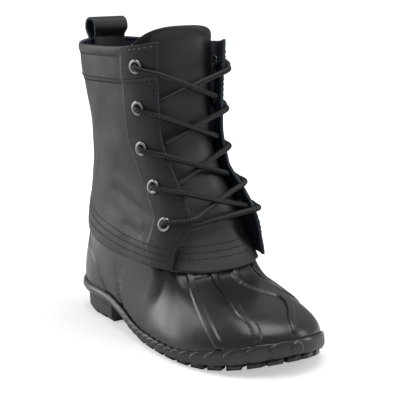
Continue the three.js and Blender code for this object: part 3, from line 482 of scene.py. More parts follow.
# Outsole
# One dense rubber sole: a band round the foot that swells into overlapping lobes from the waist
# to the toe, a raised heel seat, and a tread of edge lugs and zigzag bars.
OUTLINE = {
    "along": [.015, .06, .14, .26, .38, .52, .66, .76, .86, .94, .985],
    "outer": [.15, .275, .352, .38, .412, .462, .498, .487, .418, .28, .1],
    "inner": [.14, .262, .325, .335, .342, .392, .47, .5, .474, .36, .205],
}
TOE_LEAN = .055
SOLE_SIDE = {
    "along":  [0, .06, .12, .27, .37, .46, .53, .68, .78, .88, .95, 1],
    "lift":   [1, 1, 1, 1, .62, .14, 0, 0, 0, 0, 0, 0],
    "spring": [0, 0, 0, 0, 0, 0, 0, 0, 0, .24, .62, 1],
    "welt":   [1, .89, .84, .8, .63, .42, .35, .34, .42, .6, .77, .87],
    "lobes":  [0, 0, 0, 0, .2, .7, 1, 1, 1, 1, .7, .5],
}
HEEL_LIFT, TOE_SPRING, WELT_HEIGHT, SEAT_DROP, FOXING_STEP = 13.0, 8.0, 22.5, 3.0, 2.9
sole_side = {name: read_table(SOLE_SIDE["along"], SOLE_SIDE[name]) for name in SOLE_SIDE}


def centripetal_loop(points, per_span=240):
    """Points, and the length up to each, along a closed centripetal curve."""
    p = np.array(points)
    n = len(p)
    spans = [curve_span(p[i - 1], p[i], p[(i + 1) % n], p[(i + 2) % n], per_span) for i in range(n)]
    line = np.vstack(spans + [p[:1]])
    return line, length_up_to(line)


outer_side = [(-o * BALL_WIDTH, heel_y - a * SOLE_LENGTH) for a, o in zip(OUTLINE["along"], OUTLINE["outer"])]
inner_side = [(i * BALL_WIDTH, heel_y - a * SOLE_LENGTH) for a, i in zip(OUTLINE["along"], OUTLINE["inner"])]
toe = (TOE_LEAN * BALL_WIDTH, heel_y - SOLE_LENGTH)
outline_points = [(0, heel_y)] + outer_side + [toe] + inner_side[::-1]
outline_line, outline_at = centripetal_loop(outline_points)
outline_length = outline_at[-1]


def outline_point(edge, inset=0.0):
    """The sole's widest edge, moved inwards. edge runs from 0 at the heel, by the outer side, to 1."""
    at = np.mod(np.asarray(edge, float), 1) * outline_length
    near = .6
    x, y, x0, y0, x1, y1 = (np.interp(np.mod(at + d, outline_length), outline_at, outline_line[:, k])
                            for d in (0, -near, near) for k in (0, 1))
    tx, ty = x1 - x0, y1 - y0
    size = np.hypot(tx, ty)
    return np.stack([x - ty / size * inset, y + tx / size * inset, 0 * x], -1)


def along_at(y):
    return (heel_y - y) / SOLE_LENGTH


def welt_height(along):
    return sole_side["welt"](along) * WELT_HEIGHT


def tread_height(along):
    return sole_side["lift"](along) * HEEL_LIFT + sole_side["spring"](along) * TOE_SPRING


SPOKES = {"edge": [0, .06, .17, .29, .4, .5], "turn": [0, .105, .25, .365, .435, .5]}
FULLNESS = {
    "edge":  [0, .17, .29, .4, .5],
    "rise":  [.9, .9, .85, .78, .7],
    "draw":  [.8, .8, .75, .7, .62],
    "bulge": [.22, .1, .12, .1, .05],
}
OPEN_SHARE, LAP_RUN, RUBBER_LAP = .85, .05, 11.0
spoke_turn = read_table(SPOKES["edge"], SPOKES["turn"])
fullness = {name: read_table(FULLNESS["edge"], FULLNESS[name]) for name in FULLNESS}
tip_height = {side: float(meet_edge(leather_low, side, lambda h: 0.0)) for side in (1, -1)}
tongue_edge = {side: abs(float(flap_turn(h, side))) - float(throat["tuck"](h / COLLAR_HEIGHT))
               for side, h in tip_height.items()}


def smooth_step(x, low, high):
    t = np.clip((np.asarray(x, float) - low) / (high - low), 0, 1)
    return t * t * (3 - 2 * t)


def leather_over(turn):
    """Thickness of the leather over the rubber: one layer, or two where the vamp is under a flap."""
    side = np.where(np.asarray(turn) < 0, tongue_edge[-1], tongue_edge[1])
    double = smooth_step(np.abs(turn), side - LAP_RUN, side - .012)
    return LEATHER_WALL + 2 * GAP + double * (TONGUE_WALL + 2 * GAP)


def rubber_point(edge, share):
    """The rubber foot's outer face. share runs up from the sole, and past 0.85 under the leather."""
    edge, share = np.broadcast_arrays(np.asarray(edge, float), np.asarray(share, float))
    side = np.where(np.mod(edge, 1) > .5, np.mod(edge, 1) - 1, np.mod(edge, 1))
    key = np.abs(side)
    turn = np.sign(side) * spoke_turn(key)
    depth = leather_over(turn)
    lap_from = leather_low(turn) - 1
    lap = np.clip((share - OPEN_SHARE) / (1 - OPEN_SHARE), 0, 1)
    covered = inside(vamp_point, lap_from + lap * RUBBER_LAP, turn, depth)
    foot = outline_point(edge, FOXING_STEP)
    foot[..., 2] = welt_height(along_at(outline_point(edge)[..., 1])) - SEAT_DROP + 2 * GAP
    top = inside(vamp_point, lap_from, turn, depth)
    above = inside(vamp_point, lap_from + 1, turn, depth)
    reach = np.linalg.norm(foot - top, axis=-1, keepdims=True)
    outward = outline_point(edge, FOXING_STEP) - outline_point(edge, FOXING_STEP + 1)
    start = outward * fullness["bulge"](key)[..., None]
    start[..., 2] = fullness["rise"](key)
    start = start * reach
    end = unit(above - top) * fullness["draw"](key)[..., None] * reach
    t = (np.clip(share / OPEN_SHARE, 0, 1))[..., None]
    rest = 1 - t
    shown = (foot * rest * rest * (1 + 2 * t) + start * t * rest * rest
             + top * t * t * (3 - 2 * t) - end * t * t * rest)
    return np.where((share > OPEN_SHARE)[..., None], covered, shown)


def rubber_normal(edge, share):
    return normal_of(rubber_point, np.asarray(edge, float), np.clip(share, .01, .99), .002, .01)


def skin(us, vs, place, ring=False, holes=None):
    """A grid with columns at us and rows at vs; place gives each corner, in millimetres."""
    bm = bmesh.new()
    bmesh.ops.create_grid(bm, x_segments=len(us) - 1, y_segments=len(vs) - 1, size=.5)
    flat = np.array([v.co[:2] for v in bm.verts])
    flat = (flat - flat.min(0)) / (flat.max(0) - flat.min(0))
    u = np.asarray(us)[np.rint(flat[:, 0] * (len(us) - 1)).astype(int)]
    v = np.asarray(vs)[np.rint(flat[:, 1] * (len(vs) - 1)).astype(int)]
    spots = place(u, v)
    for vert, spot in zip(bm.verts, (spots + BOX_SHIFT) * MM):
        vert.co = spot
    if holes:
        centres, radius = [Vector((c + BOX_SHIFT) * MM) for c in holes[0]], holes[1] * MM
        gone = [face for face in bm.faces
                if min((face.calc_center_median() - c).length for c in centres) < radius]
        bmesh.ops.delete(bm, geom=gone, context="FACES")
    if ring:
        bmesh.ops.remove_doubles(bm, verts=bm.verts, dist=1e-5)
    return bm


def near_line(points, line):
    """Distance of each point to the nearest point of a line, and how far along the line that is."""
    best, at = np.full(len(points), 1e9), np.zeros(len(points))
    for i, spot in enumerate(line):
        away = np.linalg.norm(points - spot, axis=1)
        closer = away < best
        best[closer], at[closer] = away[closer], i / max(len(line) - 1, 1)
    return best, at


def round_bar(distance, half, soft):
    """Section of a raised bar or a trough: 1 in its middle, 0 beyond its half width."""
    return 1 - smooth_step(distance, half - soft, half)


def worn_group():
    """Grain and patchy wear, shared by rubber and leather: a shade, a gloss and a height that vary."""
    group = bpy.data.node_groups.new("worn surface", "ShaderNodeTree")
    group.interface.new_socket("Grain Scale", in_out="INPUT", socket_type="NodeSocketFloat")
    for name in ("Shade", "Gloss", "Height"):
        group.interface.new_socket(name, in_out="OUTPUT", socket_type="NodeSocketFloat")
    nodes, links = group.nodes, group.links
    given, shown = nodes.new("NodeGroupInput"), nodes.new("NodeGroupOutput")
    place = nodes.new("ShaderNodeTexCoord")

    def noise(scale, detail, low, high):
        texture = nodes.new("ShaderNodeTexNoise")
        texture.inputs["Detail"].default_value = detail
        links.new(place.outputs["Object"], texture.inputs["Vector"])
        if scale is None:
            links.new(given.outputs["Grain Scale"], texture.inputs["Scale"])
        else:
            texture.inputs["Scale"].default_value = scale
        spread = nodes.new("ShaderNodeMapRange")
        for socket, value in (("From Min", .3), ("From Max", .7), ("To Min", low), ("To Max", high)):
            spread.inputs[socket].default_value = value
        links.new(texture.outputs["Fac"], spread.inputs["Value"])
        return spread.outputs["Result"]

    links.new(noise(42, 4, .8, 1.25), shown.inputs["Shade"])
    links.new(noise(70, 3, -.07, .07), shown.inputs["Gloss"])
    links.new(noise(None, 2, 0, 1), shown.inputs["Height"])
    return group


worn_surface = worn_group()


def worn_material(name, colour, roughness, coat, grain, bump):
    """One surface whose shade, gloss and fine relief come from the shared group."""
    material = plain_material(name, colour, roughness, coat=coat)
    nodes, links = material.node_tree.nodes, material.node_tree.links
    shader = nodes["Principled BSDF"]
    shader.inputs["Coat Roughness"].default_value = .28
    worn = nodes.new("ShaderNodeGroup")
    worn.node_tree = worn_surface
    worn.inputs["Grain Scale"].default_value = grain
    tint = nodes.new("ShaderNodeMix")
    tint.data_type, tint.blend_type = "RGBA", "MULTIPLY"
    tint.inputs["Factor"].default_value = 1
    tint.inputs[6].default_value = (*colour, 1)
    links.new(worn.outputs["Shade"], tint.inputs[7])
    links.new(tint.outputs[2], shader.inputs["Base Color"])
    gloss = math_node(material.node_tree, "ADD", worn.outputs["Gloss"], roughness)
    links.new(gloss, shader.inputs["Roughness"])
    relief = nodes.new("ShaderNodeBump")
    relief.inputs["Strength"].default_value = bump
    relief.inputs["Distance"].default_value = .0004
    links.new(worn.outputs["Height"], relief.inputs["Height"])
    links.new(relief.outputs["Normal"], shader.inputs["Normal"])
    return material


RUBBER_GRAIN, LEATHER_GRAIN = 900, 1150


def rubber_material(name, colour, roughness, coat):
    return worn_material(name, colour, roughness, coat, RUBBER_GRAIN, .08)


def leather_material(name, colour, roughness, bump, coat):
    return worn_material(name, colour, roughness, coat, LEATHER_GRAIN, bump)


BAND = {
    "row":    [0, .14, .42, .72, 1],
    "inset":  [1.3, .35, 0, .12, .6],
    "height": [0, .1, .4, .75, 1],
}
band_inset, band_height = (read_table(BAND["row"], BAND[c]) for c in ("inset", "height"))
LUG_DEPTH, LUG_LENGTH, LUG_WIDTH, TREAD_BAR, TREAD_PITCH = 2.4, 9.0, 7.0, 3.4, 10.5
LOBE_DEPTH, LOBE_CURVE, SCALLOP, LIP = 1.7, .42, 1.3, .35
# Lobes are narrow along the sides and wide round the toe; the ladder counts them from the heel.
LOBE_PITCH = {"side": [0, .33, .41, .5], "pitch": [6.4, 6.8, 12.5, 13]}
lobe_sides = np.linspace(0, .5, 401)
lobe_pitches = np.interp(lobe_sides, LOBE_PITCH["side"], LOBE_PITCH["pitch"])
lobe_numbers = np.cumsum(outline_length * .5 / 400 / lobe_pitches)


def band_low(along):
    lift = sole_side["lift"](along)
    return tread_height(along) + np.where(lift > .02, LUG_DEPTH * (1 - lift), LUG_DEPTH)


def band_point(edge, row):
    """The side of the sole. row runs from its bottom edge to its top; the lobes lap like shingles."""
    base = outline_point(edge)
    along = along_at(base[..., 1])
    row = np.clip(row, 0, 1)
    side = np.minimum(np.mod(edge, 1), 1 - np.mod(edge, 1))
    phase = np.interp(side, lobe_sides, lobe_numbers) + LOBE_CURVE * (1 - (2 * row - 1) ** 2)
    wave = phase - np.floor(phase)
    lap = np.minimum(wave / .1, ((1 - wave) / .9) ** .8)
    lobes = sole_side["lobes"](along)
    swell = lobes * LOBE_DEPTH * (1 - np.clip(lap, 0, 1))
    swell = swell * np.interp(row, [0, .12, .8, 1], [.3, 1, .9, .5])
    lip = LIP * round_bar(np.abs(row - .1), .09, .06)
    point = outline_point(edge, band_inset(row) * FOXING_STEP + swell - lip)
    low = band_low(along)
    scallop = SCALLOP * lobes * (1 - np.sqrt(np.clip(lap, 0, 1))) * smooth_step(row, .7, 1)
    point[..., 2] = low + band_height(row) * (welt_height(along) - low) - scallop
    return point


SOLE_COLUMNS = np.linspace(0, 1, 961)
SOLE_ROWS = np.concatenate([[-.5, -.25], np.linspace(0, 1, 19), [1.5]])


def sole_skin(edge, row):
    point = band_point(edge, row)
    along = along_at(outline_point(edge)[..., 1])
    seat = outline_point(edge, FOXING_STEP - GAP)
    seat[..., 2] = welt_height(along) - SEAT_DROP
    under = outline_point(edge, FOXING_STEP * 1.3 + 12 * -row)
    under[..., 2] = band_low(along)
    point = np.where((row > 1)[..., None], seat, point)
    return np.where((row < 0)[..., None], under, point)


bm = skin(SOLE_COLUMNS, SOLE_ROWS, sole_skin, ring=True)
# the ring is open at its foot and at the seat: each rim is walked and filled in turn
for _ in range(2):
    rim = [e for e in bm.edges if e.is_boundary]
    if rim:
        start = rim[0]
        loop, walk = {start}, [start]
        while walk:
            here = walk.pop()
            for vert in here.verts:
                for other in vert.link_edges:
                    if other.is_boundary and other not in loop:
                        loop.add(other)
                        walk.append(other)
        bmesh.ops.triangle_fill(bm, use_beauty=True, use_dissolve=False, edges=list(loop),
                                normal=(0, 0, 1))


def add_lug(bm, corners, soft=.35):
    """A tread block: a plan outline raised to the sole's underside, its foot edges bevelled."""
    corners = np.array(corners)
    along = along_at(corners[:, 1])
    foot = np.column_stack([corners, tread_height(along)])
    top = np.column_stack([corners, tread_height(along) + LUG_DEPTH + 1])
    verts = [bm.verts.new((p + BOX_SHIFT) * MM) for p in foot]
    face = bm.faces.new(verts)
    made = bmesh.ops.extrude_face_region(bm, geom=[face])
    tops = [v for v in made["geom"] if isinstance(v, bmesh.types.BMVert)]
    for vert in tops:
        spot = min(range(len(foot)), key=lambda i: (Vector((foot[i] + BOX_SHIFT) * MM) - vert.co).length)
        vert.co = (top[spot] + BOX_SHIFT) * MM
    rim = [e for v in verts for e in v.link_edges if all(w in verts for w in e.verts)]
    bmesh.ops.bevel(bm, geom=list(set(rim)), offset=soft * MM, segments=2, profile=.5,
                    affect="EDGES", material=-1)


lugs = bmesh.new()
lug_count = round(outline_length / LUG_LENGTH / 1.35)
for i in range(lug_count):
    edge, reach = (i + .5) / lug_count, LUG_LENGTH / 2 / outline_length
    if sole_side["lift"](along_at(outline_point(edge)[1])) > .12:
        continue
    near = FOXING_STEP * 1.1
    add_lug(lugs, [outline_point(e, inset)[:2] for e, inset in (
        (edge - reach, near), (edge + reach, near),
        (edge + reach * .85, near + LUG_WIDTH), (edge - reach * .85, near + LUG_WIDTH))])
side_share = {"outer": read_table([0] + OUTLINE["along"] + [1], [0] + OUTLINE["outer"] + [-TOE_LEAN]),
              "inner": read_table([0] + OUTLINE["along"] + [1], [0] + OUTLINE["inner"] + [TOE_LEAN])}
margin = FOXING_STEP * 1.1 + LUG_WIDTH + 3
for along in np.arange(.5, .93, TREAD_PITCH / SOLE_LENGTH):
    left = -side_share["outer"](along) * BALL_WIDTH + margin
    right = side_share["inner"](along) * BALL_WIDTH - margin
    if right - left < 2 * TREAD_BAR:
        continue
    xs = np.linspace(left, right, 7)
    ys = heel_y - along * SOLE_LENGTH + np.where(np.arange(7) % 2, TREAD_BAR / 2, -TREAD_BAR / 2)
    rail = np.column_stack([xs, ys])
    add_lug(lugs, np.vstack([rail - [0, TREAD_BAR / 2], (rail + [0, TREAD_BAR / 2])[::-1]]))
bmesh.ops.recalc_face_normals(lugs, faces=lugs.faces)
lug_mesh = finish_mesh(lugs, "lugs")
bm.from_mesh(lug_mesh)
bmesh.ops.recalc_face_normals(bm, faces=bm.faces)
sole_material = rubber_material("sole rubber", (.024, .027, .029), .34, .5)
sole = link("outsole_rubber", finish_mesh(bm, "outsole"), [sole_material])
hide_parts("outsole")

# Heel block
# A short block of matte rubber under the heel, its foot bevelled and grooved across.
def softened(node, bevel):
    """A copy of a CAD solid with its doubled corners merged and its edges rounded."""
    bm = bmesh.new()
    bm.from_mesh(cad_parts[node].data)
    bmesh.ops.remove_doubles(bm, verts=bm.verts, dist=1e-5)
    bmesh.ops.recalc_face_normals(bm, faces=bm.faces)
    bmesh.ops.dissolve_limit(bm, angle_limit=math.radians(3), verts=bm.verts, edges=bm.edges)
    sharp = [e for e in bm.edges if e.is_manifold and e.calc_face_angle() > math.radians(25)]
    bmesh.ops.bevel(bm, geom=sharp, offset=bevel * MM, segments=3, profile=.5, affect="EDGES", material=-1,
                    clamp_overlap=True)
    return finish_mesh(bm, node)


heel_material = rubber_material("heel rubber", (.1, .1, .1), .8, 0)
heel = link("heel_rubber_block", softened("heel_block", .5), [heel_material])
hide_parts("heel_block")

# Insole
# A flat board covered with the lining's dark blue fabric; its solid stays as it is.
lining_material = leather_material("lining", (.012, .02, .036), .9, .25, 0.0)
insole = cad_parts["insole"]
for place in insole.material_slots:
    place.material = lining_material

# Rubber foot
# The moulded foot: one glossy rubber shell from the sole up under the leather, with four ribs over
# the vamp, a groove down each side, and a thicker counter round the heel.
RIB_WIDTH, RIB_HEIGHT, RIB_SOFT, TROUGH_DEPTH, RUBBER_WALL = 4.6, 1.1, .6, .8, 2.2
VAMP_RIBS = [
    [(.4319, .875), (.4236, .775), (.4083, .615), (.4014, .44), (.4014, .27), (.4056, .09)],
    [(.4958, .89), (.4903, .73), (.4792, .57), (.4694, .465), (.4611, .375), (.4597, .23), (.4542, .095)],
    [(.5083, .885), (.5069, .725), (.5139, .615), (.5264, .54), (.5389, .47), (.5375, .41), (.525, .335),
     (.5097, .24), (.5028, .125)],
    [(.5792, .81), (.5778, .695), (.5833, .62), (.595, .52), (.605, .42), (.615, .33)],
]
SIDE_TROUGHS = [[(.171, .82), (.1708, .56), (.1722, .325), (.1792, .16), (.186, .07)]]
SIDE_TROUGHS += [[(1 - e, s) for e, s in SIDE_TROUGHS[0]]]
TOP_TAB = [(.44, .845), (.452, .85), (.466, .855), (.478, .86)]
COUNTER = {
    "share": [.02, .12, .32, .46, .53, .565, .64, .8],
    "edge":  [.1417, .1403, .1236, .1083, .0931, .0708, .055, .04],
}
counter_edge = read_table(COUNTER["share"], COUNTER["edge"])
COUNTER_STEP = .6


def rubber_line(points):
    """A smooth line on the rubber's own face through points given by edge and share."""
    p, _ = smooth_path(np.column_stack([np.array(points) * 100, np.zeros(len(points))]), .8)
    return rubber_point(p[:, 0] / 100, p[:, 1] / 100)


def rubber_place(u, v):
    """The finished outer face: the shell with its ribs, side grooves and counter."""
    edge = u + .45 * np.sin(2 * np.pi * u) / (2 * np.pi)
    base = rubber_point(edge, v)
    normal = rubber_normal(edge, v)
    lift = np.zeros(len(u))
    for rib in VAMP_RIBS + [TOP_TAB]:
        away, _ = near_line(base, rubber_line(rib))
        lift = np.maximum(lift, RIB_HEIGHT * round_bar(away, RIB_WIDTH / 2, RIB_SOFT))
    for trough in SIDE_TROUGHS:
        away, _ = near_line(base, rubber_line(trough))
        lift = lift - TROUGH_DEPTH * round_bar(away, RIB_WIDTH / 2, RIB_SOFT * 1.6)
    side = np.minimum(np.mod(edge, 1), 1 - np.mod(edge, 1))
    beyond = (counter_edge(np.clip(v, .02, .8)) - side) * outline_length
    lift = lift + COUNTER_STEP * smooth_step(beyond, -.5, .9) * (v < OPEN_SHARE)
    return base + normal * lift[:, None]


def give_wall(piece, thickness, offset=-1, lined=True):
    """Turns a skin into a wall; a lined one has the lining inside and a raw edge round it."""
    wall = piece.modifiers.new("wall", "SOLIDIFY")
    wall.thickness, wall.offset = thickness * MM, offset
    if lined:
        wall.material_offset, wall.material_offset_rim = 1, 2


foot_material = rubber_material("foot rubber", (.015, .018, .0205), .32, .4)
rubber_rows = np.concatenate([np.linspace(0, OPEN_SHARE, 102), np.linspace(OPEN_SHARE, 1, 9)[1:]])
bm = skin(np.linspace(0, 1, 431), rubber_rows, rubber_place, ring=True)
bmesh.ops.recalc_face_normals(bm, faces=bm.faces)
foot = link("rubber_foot_shell", finish_mesh(bm, "rubber_foot"), [foot_material])
give_wall(foot, RUBBER_WALL, lined=False)
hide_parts("rubber_foot")

# Leather shaft
# Two flaps of smooth black leather, joined at the back: a cuff and an eyestay laid on as a second
# layer, a folded collar binding, raw bluish edges at the throat, and a worn grain.
STEP_RUN = .8


def stay_width(height):
    return throat["stay"](height / COLLAR_HEIGHT) * EYESTAY_WIDTH


# Shares of a flap's columns that fall on the eyestay and on the step at its rear edge.
STAY_PART, STEP_PART = .22, .02


def flap_behind(u, height, side):
    """How far behind the flap's front edge a column lies. u is 0 at that edge and 1 at the back."""
    stay = stay_width(height)
    inner = u / STAY_PART * stay
    step = stay + (u - STAY_PART) / STEP_PART * STEP_RUN
    rest = (u - STAY_PART - STEP_PART) / (1 - STAY_PART - STEP_PART)
    outer = stay + STEP_RUN + rest * (girth(height, side) - stay - STEP_RUN)
    return np.where(u < STAY_PART, inner, np.where(u < STAY_PART + STEP_PART, step, outer))


def column_edge(edge_height, u, side):
    height = edge_height(.4) * np.ones_like(u)
    for _ in range(8):
        height = edge_height(turn_behind(height, side, flap_behind(u, height, side)))
    return height


leather_us = np.concatenate([np.linspace(0, STAY_PART, 30),
                             np.linspace(STAY_PART, STAY_PART + STEP_PART, 4)[1:],
                             np.linspace(STAY_PART + STEP_PART, 1, 100)[1:]])
edges_of = {side: {"low": column_edge(leather_low, leather_us, side),
                   "high": column_edge(collar_high, leather_us, side)} for side in (1, -1)}


# Folds pressed in by wear: height, distance behind the front edge at each point; width and depth.
FOLDS = [
    (1, [(104, 70), (98, 78), (92, 85), (84, 92)], 6.0, .4),
    (-1, [(104, 70), (98, 78), (92, 85), (84, 92)], 6.0, .4),
    (1, [(70, 24), (75, 36), (80, 50), (86, 64)], 8.0, .5),
    (-1, [(68, 26), (74, 38), (80, 52), (86, 66)], 8.0, .5),
    (1, [(60, 28), (63, 40), (66, 54)], 7.0, .35),
    (-1, [(108, 30), (104, 44), (103, 60)], 11.0, .5),
]
BINDING_DEPTH, BINDING_LIFT = 5.2, .75
WAVE_SIZE = .3


def fold_line(side, spots):
    line, _ = smooth_path(np.array([over_flap(side, h, d, 0.0) for h, d in spots]), .8)
    return line


def worn(points):
    """How far the leather's face lies in or out at each point where it has creased in wear."""
    lift = np.zeros(len(points))
    for side, spots, width, depth in FOLDS:
        away, at = near_line(points, fold_line(side, spots))
        ends = smooth_step(np.minimum(at, 1 - at), 0, .2)
        lift -= depth * ends * np.exp(-(away / (width * .32)) ** 2)
        lift += depth * .55 * ends * np.exp(-((away - width * .75) / (width * .4)) ** 2)
    x, y, z = points.T
    slow = np.sin(x * .11 + 1.3) * np.sin(z * .085 + y * .05) + .5 * np.sin(y * .16 + z * .12 + 2)
    return lift + WAVE_SIZE * slow * .6


def leather_face(side, height, behind):
    """The finished outer face of a flap: layers, folded binding at the collar, and wear."""
    turn = turn_behind(height, side, behind)
    low, high = leather_low(turn), collar_high(turn)
    down = high - height
    lift = EYESTAY_STEP * (1 - smooth_step(behind - stay_width(height), 0, STEP_RUN))
    lift = lift + CUFF_STEP * (1 - smooth_step(down - CUFF_DEPTH, -STEP_RUN / 2, STEP_RUN / 2))
    roll = np.sqrt(np.clip(1 - ((down - BINDING_DEPTH / 2) / (BINDING_DEPTH / 2)) ** 2, 0, 1))
    lift = lift + BINDING_LIFT * roll * smooth_step(behind - stay_width(height), 0, STEP_RUN)
    flat = inside(shaft_point, height, turn, -lift)
    away = np.minimum(smooth_step(behind, 8, 26), smooth_step(down, CUFF_DEPTH - 4, CUFF_DEPTH + 8))
    away = away * smooth_step(height - low, 0, 9)
    return flat + level_normal(shaft_point, height, turn) * (worn(flat) * away)[:, None]


def leather_place(u, v):
    """u runs 0 to 2 from the outer flap's edge round the back to the inner flap's; v runs up."""
    point = np.zeros((len(u), 3))
    for side in (1, -1):
        here = (u <= 1) if side == 1 else (u > 1)
        share = np.where(side == 1, u[here], 2 - u[here])
        low = np.interp(share, leather_us, edges_of[side]["low"])
        high = np.interp(share, leather_us, edges_of[side]["high"])
        height = low + v[here] * (high - low)
        point[here] = leather_face(side, height, flap_behind(share, height, side))
    return point


hole_centres = [over_flap(side, height, float(eyelet_inset(height)), eyelet_face[row])
                for side in (1, -1) for row, height in enumerate(eyelet_heights[side])]
HOLE_CUT = 3.1
bm = skin(np.concatenate([leather_us, 2 - leather_us[::-1][1:]]), np.linspace(0, 1, 150), leather_place,
          holes=(hole_centres, HOLE_CUT))
bmesh.ops.reverse_faces(bm, faces=bm.faces)
shaft_material = leather_material("upper leather", (.018, .02, .0215), .46, .22, .06)
edge_material = leather_material("raw edge", (.05, .07, .095), .85, .6, 0.0)
shaft = link("leather_shaft_flaps", finish_mesh(bm, "leather"),
             [shaft_material, lining_material, edge_material])
give_wall(shaft, LEATHER_WALL)
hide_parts("leather_shaft")

# Tongue
# Tongue and vamp in one soft leather: it comes out of the rubber, runs up behind the flaps and
# ends in a low curved top above the collar.
TONGUE_RISE, TONGUE_DROOP, LACE_PRESS = 7.0, 5.0, 5.0


def tongue_turn(column, height):
    front = np.where(column < 0, np.abs(flap_turn(height, -1)), flap_turn(height, 1))
    edge = front - throat["tuck"](height / COLLAR_HEIGHT)
    return np.where(column < 0, -1, 1) * (.5 - np.abs(column) * (.5 - edge))


def tongue_place(column, row):
    """The tongue's outer face; column runs -1 to 1 across it and row from the rubber to its top."""
    column = -column
    low = np.where(column < 0, tip_height[-1], tip_height[1])
    for _ in range(6):
        low = leather_low(tongue_turn(column, low))
    high = collar_high(.5) + TONGUE_RISE - column ** 2 * (TONGUE_RISE + TONGUE_DROOP)
    height = low + row * (high - low)
    turn = tongue_turn(column, height)
    flat = inside(vamp_point, height, turn, np.full(len(column), LEATHER_WALL + 2 * GAP))
    middle = 1 - smooth_step(np.abs(column), .45, .8)
    crease = -.9 * np.exp(-((height - 68) / 1.7) ** 2) + .5 * np.exp(-((height - 71.5) / 2.4) ** 2)
    waves = .35 * np.sin(height * .28 + column * 2) * smooth_step(height, 75, 95)
    roll = .8 * np.exp(-((high - height - 2.2) / 2.2) ** 2)
    push = (crease + waves) * middle + roll * middle
    # the lace presses the tongue in wherever it runs close over it or behind a flap
    lace_spots = lace_line[::5]
    away, at = near_line(flat, lace_spots)
    nearest = lace_spots[np.rint(at * (len(lace_spots) - 1)).astype(int)]
    above = np.einsum("ij,ij->i", nearest - flat, level_normal(vamp_point, height, turn))
    aside = np.sqrt(np.maximum(away ** 2 - above ** 2, 0))
    pressed = np.clip(LACE_THICK / 2 + .3 - above + np.maximum(push, 0), 0, LACE_PRESS)
    push = push - pressed * (1 - smooth_step(aside, LACE_THICK / 2, LACE_THICK * 1.7))
    return flat + level_normal(vamp_point, height, turn) * push[:, None]


bm = skin(np.linspace(-1, 1, 120), np.linspace(0, 1, 160), tongue_place)
tongue_material = leather_material("tongue leather", (.013, .0145, .016), .45, .2, .12)
tongue = link("tongue_leather_piece", finish_mesh(bm, "tongue"),
              [tongue_material, lining_material, edge_material])
give_wall(tongue, TONGUE_WALL)
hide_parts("tongue")

# Stitching
# Waxed thread in single and double rows: along the collar and cuff, round both eyestays, and three
# rows above the rubber, which hold the leather to it. A few rows of the black thread are painted light grey
# as a painted highlight of its gloss.
THREAD = .75
# Each kind of stitch by its pitch and its length.
CUFF_FRONT, CUFF_BACK, SEAM, COARSE, COLUMN = (2.8, 2.0), (1.75, 1.2), (2.3, 1.6), (3.1, 2.1), (2.1, 1.4)
COLUMN_TOP, COLUMN_FOOT = 164.0, 58.0
LOWER_ROWS = {
    "behind": [0, 45, 63, 120],
    "first":  [4.5, 4.5, 6.1, 5.8],
    "second": [7.6, 8.6, 10.3, 11],
    "third":  [10.9, 12, 14.1, 14.5],
}


def add_stitches(bm, row, pitch, length):
    """Short capsules of thread laid end to end along a line of points on the leather."""
    line, total = smooth_path(row, .25)
    count = int(total / pitch)
    spots = (np.arange(count) + .5) / count * (len(line) - 1)
    for at in spots:
        i = int(np.clip(at, 1, len(line) - 2))
        along = Vector(unit(line[i + 1] - line[i - 1]))
        out = Vector(unit(line[i] * [1, 1, 0] - [0, 40, 0]))
        out = (out - along * out.dot(along)).normalized()
        axes = (along * length / 2, along.cross(out) * THREAD / 2, out * THREAD / 2)
        stitch = Matrix(axes).transposed().to_4x4()
        place = Matrix.Translation(Vector((line[i] + BOX_SHIFT) * MM)) @ Matrix.Scale(MM, 4) @ stitch
        bmesh.ops.create_uvsphere(bm, u_segments=6, v_segments=4, radius=1, matrix=place)


def down_row(side, depth, start, end):
    """A row that keeps its depth below the collar from one distance behind the edge to another."""
    behind = np.linspace(start, end, 60)
    height = collar_high(turn_behind(150.0, side, behind)) - depth
    return leather_face(side, height, behind)


def up_row(side, column):
    """A row above the leather's lower edge, from the eyestay round to the back."""
    behind = np.linspace(5, float(girth(60.0, side)) - .5, 80)
    height = leather_low(turn_behind(50.0, side, behind))
    for _ in range(6):
        height = leather_low(turn_behind(height, side, behind))
    return leather_face(side, height + np.interp(behind, LOWER_ROWS["behind"], LOWER_ROWS[column]), behind)


# the second thread is black thread painted light grey: a painted highlight of its gloss
dark_thread, painted_highlight_thread = bmesh.new(), bmesh.new()
for side in (1, -1):
    back = float(girth(150.0, side)) - .5
    for depth in (CUFF_DEPTH - 1.4, CUFF_DEPTH + 1.1):
        add_stitches(dark_thread, down_row(side, depth, 2.4, 22), *CUFF_FRONT)
        add_stitches(dark_thread, down_row(side, depth, 26, back), *CUFF_BACK)
    add_stitches(dark_thread, down_row(side, BINDING_DEPTH + .4, 27, back), *SEAM)
    add_stitches(painted_highlight_thread, down_row(side, 2.0, 2.4, 22), *COARSE)
    heights = np.linspace(COLUMN_TOP, COLUMN_FOOT, 70)
    add_stitches(painted_highlight_thread, leather_face(side, heights, stay_width(heights) - 1.3), *COLUMN)
    add_stitches(dark_thread, leather_face(side, heights, 2.4 + 0 * heights), *COARSE)
    for column in ("first", "second", "third"):
        add_stitches(dark_thread, up_row(side, column), *SEAM)
TONGUE_RUN = 120
for rise in (5.2, 8.0, 11.0):
    line = tongue_place(np.linspace(-.72, .72, 50), np.full(50, rise / TONGUE_RUN))
    add_stitches(dark_thread, line, *SEAM)
# the light grey colour of the second thread is a painted highlight, not the thread's own colour
for name, bm, colour in (("stitches_dark", dark_thread, (.006, .006, .007)),
                         ("stitches_painted_highlight", painted_highlight_thread, (.17, .17, .17))):
    piece = link(name, finish_mesh(bm, name), [plain_material(name.replace("_", " "), colour, .6)])

# Pull loop
# A folded leather strip that grips the collar at the back and stands open above it.
LOOP_WIDTH, LOOP_HEIGHT, LOOP_DEPTH, LOOP_THICK, LOOP_TAIL = 23.0, 11.0, 11.0, 1.6, 11.0


